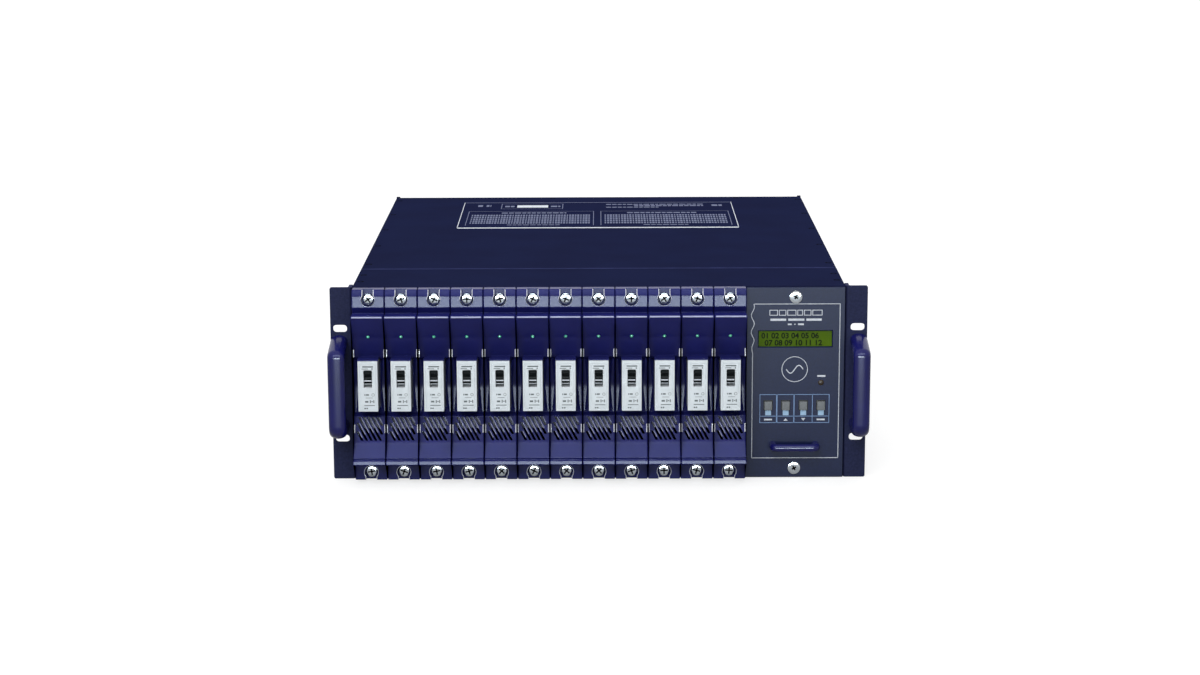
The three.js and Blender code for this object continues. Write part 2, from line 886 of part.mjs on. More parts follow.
function fanFrame() {
  const half = fanSize / 2;
  const reach = fanBoreRadius + joinDepth;
  const strut = fanStrutWidth / 2;
  const plate = fanRear - fanMotorSheet;
  const square = block(
    fanCentreX - half, fanCentreX + half,
    fanFront, fanRear,
    fanCentreZ - half, fanCentreZ + half,
  );
  const bore = barAlongY(
    fanCentreX, fanCentreZ, fanFront - overrun, fanRear + overrun, fanBoreRadius, roundSides,
  );
  return joined([
    square.subtract(bore),
    barAlongY(fanCentreX, fanCentreZ, plate, fanRear, fanHubRadius, roundSides),
    block(fanCentreX - reach, fanCentreX + reach, plate, fanRear, fanCentreZ - strut, fanCentreZ + strut),
    block(fanCentreX - strut, fanCentreX + strut, plate, fanRear, fanCentreZ - reach, fanCentreZ + reach),
  ]);
}

// The impeller: a hub with pitched blades that end clear of the bore
function fanRotor() {
  const front = fanFront + bladeClearance;
  const rear = fanRear - fanMotorSheet - fitGap;
  const hub = barAlongY(fanCentreX, fanCentreZ, front, rear, fanHubRadius, roundSides);
  const root = fanHubRadius - overrun;
  const across = bladeChord / 2 * Math.sin(bladePitch) + bladeSheet;
  const clear = fanBoreRadius * Math.cos(Math.PI / roundSides) - bladeClearance;
  const tip = Math.sqrt(clear ** 2 - across ** 2);
  const blades = Array.from({ length: bladeCount }, (_, index) => {
    const blade = new THREE.BoxGeometry(tip - root, bladeChord, bladeSheet);
    blade.rotateX(bladePitch);
    blade.translate((root + tip) / 2, 0, 0);
    blade.rotateY(index * 2 * Math.PI / bladeCount);
    blade.translate(fanCentreX, (front + rear) / 2, fanCentreZ);
    return solid(blade);
  });
  return joined([hub, ...blades]);
}

// A multi-pole outlet: a square flange outside the panel, a round body and an open barrel
function outletSocket(x) {
  const seat = caseDepth + fitGap;
  const floor = seat + outletFlangeSheet;
  const mouth = seat + outletReach;
  const half = outletFlange / 2;
  const whole = joined([
    barAlongY(x, outletCentreZ, rearInside - outletBodyDepth, mouth, outletRadius, roundSides),
    block(x - half, x + half, seat, floor, outletCentreZ - half, outletCentreZ + half),
  ]);
  return whole.subtract(
    barAlongY(x, outletCentreZ, floor, mouth + overrun, outletBoreRadius, roundSides),
  );
}

// The gland for the mains lead: a thread through the panel, a hexagon and a domed nut
function mainsGland() {
  const seat = caseDepth + fitGap;
  const nut = seat + glandHexDepth;
  const tip = seat + glandReach;
  const bar = (y0, y1, radius, sides, far) => (
    barAlongY(glandCentreX, glandCentreZ, y0, y1, radius, sides, far)
  );
  const whole = joined([
    bar(rearInside - glandThreadDepth, nut, glandThreadRadius, roundSides),
    bar(seat, nut, glandHexRadius, hexSides),
    bar(nut - joinDepth, nut + glandHexDepth, glandNutRadius, roundSides),
    bar(nut + glandHexDepth - joinDepth, tip, glandNutRadius, roundSides, glandTipRadius),
  ]);
  return whole.subtract(bar(tip - glandBoreDepth, tip + overrun, glandBoreRadius, roundSides));
}

place('base_plate', basePlate(), 'caseSteel');
place('side_wall_left', sideWall(-1), 'caseSteel');
place('side_wall_right', sideWall(1), 'caseSteel');
place('rear_panel', rearPanel(), 'caseSteel');
place('top_cover', topCover(), 'caseSteel');
place('front_top_strip', frontTopStrip(), 'caseSteel');
place('rack_ear_left', rackEar(-1), 'earSteel');
place('rack_ear_right', rackEar(1), 'earSteel');
place('rack_handle_left', rackHandle(-1), 'gloss');
place('rack_handle_right', rackHandle(1), 'gloss');
place('backplane', backplane(), 'board');
place('fan_frame', fanFrame(), 'black');
place('fan_rotor', fanRotor(), 'black');
place('output_socket_left', outletSocket(outletCentres[0]), 'black');
place('output_socket_right', outletSocket(outletCentres[1]), 'black');
place('mains_gland', mainsGland(), 'black');

place('control_panel', controlPanel(), 'panel');
place('control_tray', controlTray(), 'zinc');
place('lcd_display', lcdDisplay(), 'display');
place('control_handle', controlHandle(), 'gloss');
for (let index = 0; index < keyCount; index += 1) {
  const spot = new THREE.Group();
  spot.position.set(keyX(index), 0, keyCentreZ);
  pack.add(spot);
  place(`key_${index + 1}`, pushKey(), 'keyGrey', spot);
}

for (let index = 0; index < moduleCount; index += 1) {
  const bay = new THREE.Group();
  bay.position.x = modulesLeft + index * modulePitch;
  pack.add(bay);
  const number = String(index + 1).padStart(2, '0');
  place(`module_${number}`, dimmerModule(), 'gloss', bay);
  place(`breaker_${number}`, breaker(), 'offWhite', bay);
  place(`breaker_toggle_${number}`, toggle(), 'black', bay);
}

// The origin moves to the middle of the base of the bounding box
pack.updateMatrixWorld(true);
const middle = new THREE.Box3().setFromObject(pack, true).getCenter(new THREE.Vector3());
pack.position.y = -middle.y;

export default pack;
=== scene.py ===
"""Dimmer pack for stage lighting: the visible pieces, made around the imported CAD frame.

While a piece is made it is in millimetres, with X zero in the middle, Y zero at the front face of the
rack ears and Z zero at the bottom. place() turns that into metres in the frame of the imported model.
"""

import math

import bmesh
import bpy
import numpy as np
from bpy.props import FloatProperty, FloatVectorProperty, PointerProperty
from mathutils import Matrix, Vector


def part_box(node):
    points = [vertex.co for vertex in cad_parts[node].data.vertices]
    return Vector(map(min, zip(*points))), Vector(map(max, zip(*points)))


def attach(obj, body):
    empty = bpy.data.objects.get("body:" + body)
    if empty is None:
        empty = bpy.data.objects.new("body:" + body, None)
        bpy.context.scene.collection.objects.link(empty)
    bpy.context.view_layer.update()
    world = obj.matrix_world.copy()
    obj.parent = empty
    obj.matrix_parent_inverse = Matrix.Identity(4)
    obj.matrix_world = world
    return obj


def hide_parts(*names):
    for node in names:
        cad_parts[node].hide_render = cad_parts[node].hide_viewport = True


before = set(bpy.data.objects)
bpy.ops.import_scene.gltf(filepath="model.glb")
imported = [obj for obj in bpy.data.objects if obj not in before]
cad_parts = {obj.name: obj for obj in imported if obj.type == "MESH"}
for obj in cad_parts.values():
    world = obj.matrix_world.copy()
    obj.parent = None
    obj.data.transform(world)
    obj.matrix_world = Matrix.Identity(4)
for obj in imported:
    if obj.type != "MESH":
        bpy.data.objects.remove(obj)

bl_info = {
    "name": "Dimmer Pack",
    "version": (1, 0, 0),
    "blender": (4, 5, 0),
    "location": "View3D > Sidebar > Dimmer Pack",
    "description": "Builds a rack dimmer pack piece by piece around its CAD frame",
    "category": "Object",
}

MM = 0.001
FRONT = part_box("rack_ear_left")[0].y
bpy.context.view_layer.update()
BAYS = sorted(name[-2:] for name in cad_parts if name.startswith("module_"))


def node_box(name):
    """The lowest and highest corner of a CAD node, in millimetres from the ears' front plane."""
    low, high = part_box(name)
    shift = Vector((0, FRONT, 0))
    return np.array(low - shift) / MM, np.array(high - shift) / MM


def node_middle(name):
    """The middle of a CAD node, across and up."""
    low, high = node_box(name)
    return (low[0] + high[0]) / 2, (low[2] + high[2]) / 2


BAY_WIDTH = node_box("module_01")[1][0] - node_box("module_01")[0][0]
BAY_LEFT = {bay: node_box(f"module_{bay}")[0][0] for bay in BAYS}
PANEL_LOW, PANEL_HIGH = node_box("control_panel")
PANEL_MIDDLE = (PANEL_LOW[0] + PANEL_HIGH[0]) / 2
CASE_HIGH = node_box("base_plate")[1]
PACK_HEIGHT = node_box("rack_ear_left")[1][2]
CORNERS = [(-1, -1), (-1, 1), (1, -1), (1, 1)]
# How far the fan's screws are from its middle, across and up, and the bend from which an edge is sharp
FAN_REACH = 52.5
SHARP_FROM = math.radians(35)

# The fascia seen from its side: how far each corner stands forwards, its height and how far its
# rounding reaches, in millimetres
FASCIA_CORNERS = np.array([
    (0.3, 176.8, 0), (10, 176.8, 1.2), (12.2, 171.4, 1.0), (13.2, 160.8, 0.7), (10, 155.31, 0.6),
    (28, 155.31, 1.2), (28, 154.0, 0.5), (17.5, 134.5, 1.6), (11, 115.39, 1.0), (8.75, 113.09, 0.8),
    (6.5, 88.54, 3), (8.75, 63.99, 0.9), (15, 62.01, 1.0), (22, 39.1, 2.4), (31, 26.8, 0.7),
    (30.2, 25.7, 0.3), (30.2, 24.9, 0.3), (32.3, 24.6, 0.4), (33, 20.99, 0.7), (14, 16.5, 1.2),
    (14, 2.5, 0.8), (0.3, 2.5, 0),
])
HOLLOW_CORNERS = np.array([
    (-4.2, 155.31), (28, 155.31), (17.5, 134.5), (11, 115.39), (7.6, 113.09), (6.5, 88.54),
    (7.6, 63.99), (15, 62.01), (22, 39.1), (31, 26.31), (33, 20.99), (14, 16.5), (-4.2, 16.5),
])


# Sizes and colours that a user would change

def length(label, mm, about):
    return FloatProperty(
        name=label, description=about, default=mm * MM, min=0, unit="LENGTH", subtype="DISTANCE",
    )


def linear(hex_colour):
    """sRGB hex to linear: c / 12.92 up to 0.04045, above that ((c + 0.055) / 1.055) to the power 2.4."""
    srgb = np.array([int(hex_colour[at:at + 2], 16) for at in (1, 3, 5)]) / 255
    bent = ((srgb + 0.055) / 1.055) ** 2.4
    return tuple(np.where(srgb <= 0.04045, srgb / 12.92, bent).tolist())


def colour(label, hex_colour, about):
    return FloatVectorProperty(
        name=label, description=about, default=linear(hex_colour), size=3, min=0, max=1, subtype="COLOR",
    )


class FasciaSizes(bpy.types.PropertyGroup):
    edge: length("Edge radius", 0.8, "Radius of a fascia's long side edges")
    wall: length("Wall", 2.2, "Thickness of a fascia's moulded wall")
    screw_radius: length("Screw radius", 5.2, "Radius of the pan heads that hold a module")
    pocket_radius: length("Pocket radius", 6.2, "Radius of the round end of a screw pocket")
    pocket_slot: length("Pocket slot", 9.6, "Width of a screw pocket's open end")
    lamp_radius: length("Indicator radius", 1.5, "Radius of a module's indicator")
    louvre_width: length("Louvre width", 2.6, "Width of a slanted air slot")
    louvre_pitch: length("Louvre pitch", 4.13, "Distance between slanted air slots")


class BreakerSizes(bpy.types.PropertyGroup):
    edge: length("Edge radius", 0.3, "Radius of a breaker's edges")
    window_width: length("Window width", 7.6, "Width of the toggle's window")
    window_height: length("Window height", 15.6, "Height of the toggle's window")
    lever: length("Lever thickness", 3.4, "Thickness of the toggle")


class CaseSizes(bpy.types.PropertyGroup):
    sheet: length("Sheet", 1.5, "Thickness of the case's sheet steel")
    fold: length("Fold radius", 0.6, "Radius of the case's edges")
    cover_screw: length("Cover screw radius", 3.1, "Radius of the countersunk cover screws")
    bend: length("Ear bend", 3.0, "Outside radius of the bend of a rack ear")
    ear_corner: length("Ear corner", 2.0, "Radius of a rack ear's outer corners")
    handle_edge: length("Handle rounding", 5.1, "How far the section of a rack handle is rounded")
    pull_edge: length("Pull rounding", 2.9, "How far the section of the control pull is rounded")


class Tints(bpy.types.PropertyGroup):
    fascia: colour("Fascia", "#1f2260", "Navy of the moulded fascias")
    case: colour("Case", "#1d213d", "Navy of the case's powder coat")
    ear: colour("Ears", "#25294c", "Grey navy of the rack ears")
    handle: colour("Handles", "#17185c", "Navy of the rack handles and the pull")
    panel: colour("Control panel", "#151d43", "Grey navy of the control panel")
    breaker: colour("Breakers", "#c6cbd0", "Off-white of the breakers")
    display: colour("Display", "#53700d", "Green of the display")
    lamp: colour("Indicators", "#3cb893", "Teal of the modules' indicators")


def amount(label, value, about, least=0, **unit):
    return FloatProperty(name=label, description=about, default=value, min=least, **unit)


def angle(label, degrees, about):
    return FloatProperty(name=label, description=about, default=math.radians(degrees), subtype="ANGLE")


class StudioSettings(bpy.types.PropertyGroup):
    lens: amount("Lens", 76.56, "Focal length in millimetres", 1, unit="CAMERA")
    distance: length("Distance", 2244.7, "How far the camera is in front of the ears")
    height: length("Height", 607.5, "How high the camera is above the floor")
    pitch: angle("Pitch", 12.0, "How far the camera looks down")
    roll: angle("Roll", -0.2, "How far the camera is turned about its view")
    ambient: amount("Ambient", 0.35, "Strength of the light from all round")
    overhead: amount("Overhead", 1.3, "Strength of the soft light overhead")
    front: amount("Front", 1.75, "Strength of the soft light from the front and above")
    strip: amount("Strip", 48, "Power of the low strip that only shows as gloss", unit="POWER")
    hood: amount("Hood", 18, "Power of the high panel that only shows as gloss", unit="POWER")


SETTINGS = {
    "dimmer_fascia": FasciaSizes,
    "dimmer_breaker": BreakerSizes,
    "dimmer_case": CaseSizes,
    "dimmer_tints": Tints,
    "dimmer_studio": StudioSettings,
}


def in_mm(group, *names):
    """Lengths of a property group, in millimetres."""
    return [getattr(group, name) / MM for name in names]


# Shapes: a shape is its points, as an array in millimetres, and its faces

def joined(*shapes):
    """Several shapes as one: each one's faces count on from the points before them."""
    points, faces, start = [], [], 0
    for part_points, part_faces in shapes:
        points.append(np.asarray(part_points, float))
        faces += [[corner + start for corner in face] for face in part_faces]
        start += len(part_points)
    return np.concatenate(points), faces


def moved(shape, x=0.0, y=0.0, z=0.0):
    return shape[0] + (x, y, z), shape[1]


def turned(shape, axis, angle):
    """A shape turned about an axis through zero."""
    turn = np.array(Matrix.Rotation(angle, 3, axis.upper()))
    return shape[0] @ turn.T, shape[1]


def repeated(shape, places):
    """A shape at each of several places, as one shape."""
    return joined(*[moved(shape, *at) for at in places])


def mirrored(shape):
    """A shape with X turned round, and its faces with it so that they still point outwards."""
    return shape[0] * (-1, 1, 1), [face[::-1] for face in shape[1]]


def outline_area(outline):
    """Half the sum over the corners of u times the next v, less v times the next u."""
    u, v = outline.T
    return (u @ np.roll(v, -1) - v @ np.roll(u, -1)) / 2


def soften(points, reach, steps=3):
    """Each corner becomes a curve (1-t)^2 a + 2t(1-t) c + t^2 b, where c is the corner and a and b lie
    the corner's reach away from it on its two edges."""
    points = np.asarray(points, float)
    reach = np.broadcast_to(np.asarray(reach, float), len(points))
    back, ahead = np.roll(points, 1, 0) - points, np.roll(points, -1, 0) - points
    back_size, ahead_size = np.linalg.norm(back, axis=1), np.linalg.norm(ahead, axis=1)
    reach = np.minimum(reach, 0.49 * np.minimum(back_size, ahead_size))
    start = points + back * (reach / back_size)[:, None]
    end = points + ahead * (reach / ahead_size)[:, None]
    t = np.linspace(0, 1, steps + 1)[None, :, None]
    curve = (1 - t) ** 2 * start[:, None] + 2 * t * (1 - t) * points[:, None] + t ** 2 * end[:, None]
    curve = curve.reshape(-1, points.shape[1])
    return curve[np.linalg.norm(curve - np.roll(curve, 1, 0), axis=1) > 1e-6]


def rectangle(u0, u1, v0, v1):
    return np.array([(u0, v0), (u1, v0), (u1, v1), (u0, v1)], float)


def on_circle(u, v, radius, angle):
    """Points on a circle: centre plus radius times (cos, sin) of the angles."""
    return np.stack([u + radius * np.cos(angle), v + radius * np.sin(angle)], 1)


def disc(u, v, radius, sides):
    return on_circle(u, v, radius, np.arange(sides) * 2 * np.pi / sides)


def arc(u, v, radius, start, end, steps):
    return on_circle(u, v, radius, np.linspace(start, end, steps + 1))


def upright(outline, y):
    """An outline stood up across, at one depth."""
    return np.insert(outline, 1, y, axis=1)


def offset(outline, distance):
    """Each point moves into the outline along the sum of its two edges' normals, by distance over one
    plus the cosine between them, so that the edges themselves move by the distance."""
    edge = np.roll(outline, -1, 0) - outline
    edge = edge / np.linalg.norm(edge, axis=1)[:, None]
    normal = np.stack([-edge[:, 1], edge[:, 0]], 1) * np.sign(outline_area(outline))
    before = np.roll(normal, 1, 0)
    stretch = distance / np.maximum(1 + (before * normal).sum(1), 0.2)
    return outline + (before + normal) * stretch[:, None]


def loft(rings, loop=False):
    """Quads between rings of points. One face each closes both ends, or loop joins the last ring to the
    first."""
    rings = np.asarray(rings, float)
    index = np.arange(rings.shape[0] * rings.shape[1]).reshape(rings.shape[:2])
    upper = np.roll(index, -1, 0)
    if not loop:
        upper, index = upper[:-1], index[:-1]
    quads = np.stack([index, np.roll(index, -1, 1), np.roll(upper, -1, 1), upper], -1)
    faces = quads.reshape(-1, 4).tolist()
    if not loop:
        faces += [index[0][::-1].tolist(), upper[-1].tolist()]
    return rings.reshape(-1, 3), faces


def bar(outline, axis, low, high, edge=0.0, steps=3, spread=None):
    """An outline carried along an axis. Near each end the outline draws in by edge (1 - sin a) where it
    has come spread (1 - cos a) along, a quarter circle in section, or of an ellipse."""
    outline = np.asarray(outline, float)
    angle = np.linspace(0, np.pi / 2, steps + 1) if edge else np.zeros(1)
    inset = edge * (1 - np.sin(angle)) if edge else np.zeros(1)
    along = (edge if spread is None else spread) * (1 - np.cos(angle))
    insets = np.concatenate([inset, inset[::-1]])
    places = np.concatenate([low + along, high - along[::-1]])
    column = "xyz".index(axis)
    return loft([np.insert(offset(outline, d), column, at, axis=1) for d, at in zip(insets, places)])


def slab(x, y, z, edge=0.3, axis="y", corner=None):
    """A block between two corners, all of whose edges are rounded."""
    spans = [x, y, z]
    column = "xyz".index(axis)
    sides = [value for at, span in enumerate(spans) if at != column for value in span]
    outline = soften(rectangle(*sides), 1.6 * edge if corner is None else max(corner, 1.6 * edge))
    return bar(outline, axis, *spans[column], edge)


def lathe(profile, axis, centre, sides=32):
    """A profile of (radius, height) turned about an axis: (radius cos a, radius sin a, height)."""
    profile = np.asarray(profile, float)
    angle = np.arange(sides) * 2 * np.pi / sides
    across = profile[:, :1] * np.cos(angle), profile[:, :1] * np.sin(angle)
    height = np.repeat(profile[:, 1:], sides, 1)
    order = {"x": (height, *across), "y": (across[0], height, across[1]), "z": (*across, height)}
    return loft(np.stack(order[axis], -1) + np.asarray(centre, float))


def drum(radius, front, rear, centre, sides):
    """A plain round block that lies along Y."""
    return lathe([(0, front), (radius, front), (radius, rear), (0, rear)], "y", centre, sides)


def tube(path, radius, sides=10, up=(0, 0, 1), loop=False, flat=1.0):
    """A ring of points carried along a path: side is the tangent crossed with up, lift is side crossed
    with the tangent, and each point is path + r cos(a) side + r flat sin(a) lift."""
    path = np.asarray(path, float)
    if loop:
        tangent = np.roll(path, -1, 0) - np.roll(path, 1, 0)
    else:
        tangent = np.gradient(path, axis=0)
    tangent /= np.linalg.norm(tangent, axis=1)[:, None]
    side = np.cross(tangent, up)
    side /= np.linalg.norm(side, axis=1)[:, None]
    lift = np.cross(side, tangent)
    angle = np.arange(sides) * 2 * np.pi / sides
    radius = np.broadcast_to(radius, len(path))[:, None, None]
    around = side[:, None] * np.cos(angle)[:, None] + flat * lift[:, None] * np.sin(angle)[:, None]
    return loft(path[:, None] + radius * around, loop=loop)


def prints(rectangles, axis, level, proud):
    """Flat marks: each rectangle (u0, v0, u1, v1) becomes a thin block from just under its surface to
    proud of it. The eight corners of every block are worked out at once."""
    spans = np.asarray(rectangles, float).reshape(-1, 4)
    flat = np.stack([spans[:, [0, 2, 2, 0]], spans[:, [1, 1, 3, 3]]], -1)
    levels = level - proud * 0.5, level + proud
    rings = [np.insert(flat, "xyz".index(axis), at, axis=2) for at in levels]
    block = np.array([
        (3, 2, 1, 0), (4, 5, 6, 7), (0, 1, 5, 4), (1, 2, 6, 5), (2, 3, 7, 6), (3, 0, 4, 7),
    ])
    faces = (block[None] + 8 * np.arange(len(spans))[:, None, None]).reshape(-1, 4).tolist()
    return np.concatenate(rings, 1).reshape(-1, 3), faces


def ribbon(path, width):
    """The outline of a line of a given width along an open path: the path moved half the width to one
    side, and back along the other."""
    path = np.asarray(path, float)
    along = np.gradient(path, axis=0)
    along /= np.linalg.norm(along, axis=1)[:, None]
    side = np.stack([-along[:, 1], along[:, 0]], 1) * width / 2
    return np.concatenate([path + side, (path - side)[::-1]])


def framed(u0, v0, u1, v1, line):
    """The four lines of a printed frame."""
    return [
        (u0, v0, u1, v0 + line), (u0, v1 - line, u1, v1),
        (u0, v0 + line, u0 + line, v1 - line), (u1 - line, v0 + line, u1, v1 - line),
    ]


def clean_mesh(shape, name="work"):
    """A mesh of a shape, with its seams and poles closed and its faces pointing outwards."""
    mesh = bpy.data.meshes.new(name)
    mesh.from_pydata(shape[0], [], shape[1])
    work = bmesh.new()
    work.from_mesh(mesh)
    bmesh.ops.remove_doubles(work, verts=work.verts, dist=0.001)
    bmesh.ops.dissolve_degenerate(work, edges=work.edges, dist=0.001)
    bmesh.ops.recalc_face_normals(work, faces=work.faces)
    work.to_mesh(mesh)
    work.free()
    return mesh


def read_mesh(mesh):
    """A mesh as a shape."""
    points = np.empty(len(mesh.vertices) * 3)
    mesh.vertices.foreach_get("co", points)
    corners = np.empty(len(mesh.loops), int)
    mesh.loops.foreach_get("vertex_index", corners)
    starts = np.empty(len(mesh.polygons), int)
    mesh.polygons.foreach_get("loop_start", starts)
    return points.reshape(-1, 3), [face.tolist() for face in np.split(corners, starts[1:])]


def linked(name, data):
    """A new object with its data, put into the scene."""
    made = bpy.data.objects.new(name, data)
    bpy.context.scene.collection.objects.link(made)
    return made


def evaluated(work):
    """The shape of an object after its modifiers, as a shape of its own."""
    bpy.context.view_layer.update()
    made = bpy.data.meshes.new_from_object(work.evaluated_get(bpy.context.evaluated_depsgraph_get()))
    shape = read_mesh(made)
    bpy.data.objects.remove(work)
    bpy.data.meshes.remove(made)
    return shape


def modified(shape, kind, **settings):
    """A shape after one of Blender's modifiers."""
    work = linked("work", clean_mesh(shape))
    modifier = work.modifiers.new(kind, kind)
    for name, value in settings.items():
        setattr(modifier, name, value)
    return evaluated(work)


def cut(shape, *cutters):
    """A shape less each cutter in turn."""
    for cutter in cutters:
        tool = linked("cutter", clean_mesh(cutter))
        shape = modified(shape, "BOOLEAN", operation="DIFFERENCE", solver="MANIFOLD", object=tool)
        bpy.data.objects.remove(tool)
        if not len(shape[0]):
            raise RuntimeError("a cut left nothing of its shape")
    return shape


def from_node(name, edge):
    """A CAD node's shape, merged, with its flat faces made whole and its edges rounded."""
    points, faces = read_mesh(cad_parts[name].data)
    solid = clean_mesh(((points - (0, FRONT, 0)) / MM, faces))
    work = bmesh.new()
    work.from_mesh(solid)
    bmesh.ops.dissolve_limit(work, angle_limit=math.radians(1), verts=work.verts, edges=work.edges)
    work.to_mesh(solid)
    work.free()
    return modified(
        read_mesh(solid), "BEVEL", width=edge, segments=2, limit_method="ANGLE",
        angle_limit=math.radians(40),
    )


def letters(text, height):
    """Plain figures as a thin mesh, standing in the X-Z plane, as high as is asked."""
    curve = bpy.data.curves.new("figures", "FONT")
    curve.body = text
    curve.size = height
    curve.extrude, curve.offset = 0.05, 0.025 * height
    points, faces = evaluated(linked("figures", curve))
    bpy.data.curves.remove(curve)
    return np.stack([points[:, 0], -points[:, 2], points[:, 1]], 1), faces


# Finishes

def add(tree, kind, inputs=(), **settings):
    """Adds a node with its settings, and gives each input a value or a link."""
    node = tree.nodes.new(kind)
    for name, value in settings.items():
        setattr(node, name, value)
    for name, value in dict(inputs).items():
        if isinstance(value, bpy.types.NodeSocket):
            tree.links.new(value, node.inputs[name])
        else:
            node.inputs[name].default_value = value
    return node


COLUMNS = "slot", "base", "blotch", "spot", "grain", "lift", "smoothest", "roughest", "edge"
SHADER_INPUTS = {
    "ior": "IOR", "level": "Specular IOR Level", "metal": "Metallic", "coat": "Coat Weight",
    "sheen": "Sheen Weight", "inside": "Subsurface Weight", "depth": "Subsurface Scale",
}


def look(*values, stretch=(1, 1, 1), cells=False, **shader):
    """A row of the table of finishes: a value for each column, how much the patterns are stretched,
    whether the grain is made of cells, and the shader's inputs that differ from its own defaults."""
    inputs = {SHADER_INPUTS[name]: value for name, value in shader.items()}
    return dict(zip(COLUMNS, values), stretch=stretch, cells=cells, shader=inputs)


def ink(base, blotch, smoothest=0.55, roughest=0.7):
    """Screen ink lies in an even layer, so its edges are no paler than the rest."""
    return look(
        "panel_steel", base, blotch, 3, 0.5, 0.01, smoothest, roughest, base, ior=1.48, level=0.2,
    )


def wire(base, blotch, spot, edge):
    """Insulation of a wire: smooth PVC with a dull sheen."""
    return look("connector_black", base, blotch, spot, 0.7, 0.005, 0.35, 0.45, edge, ior=1.53)


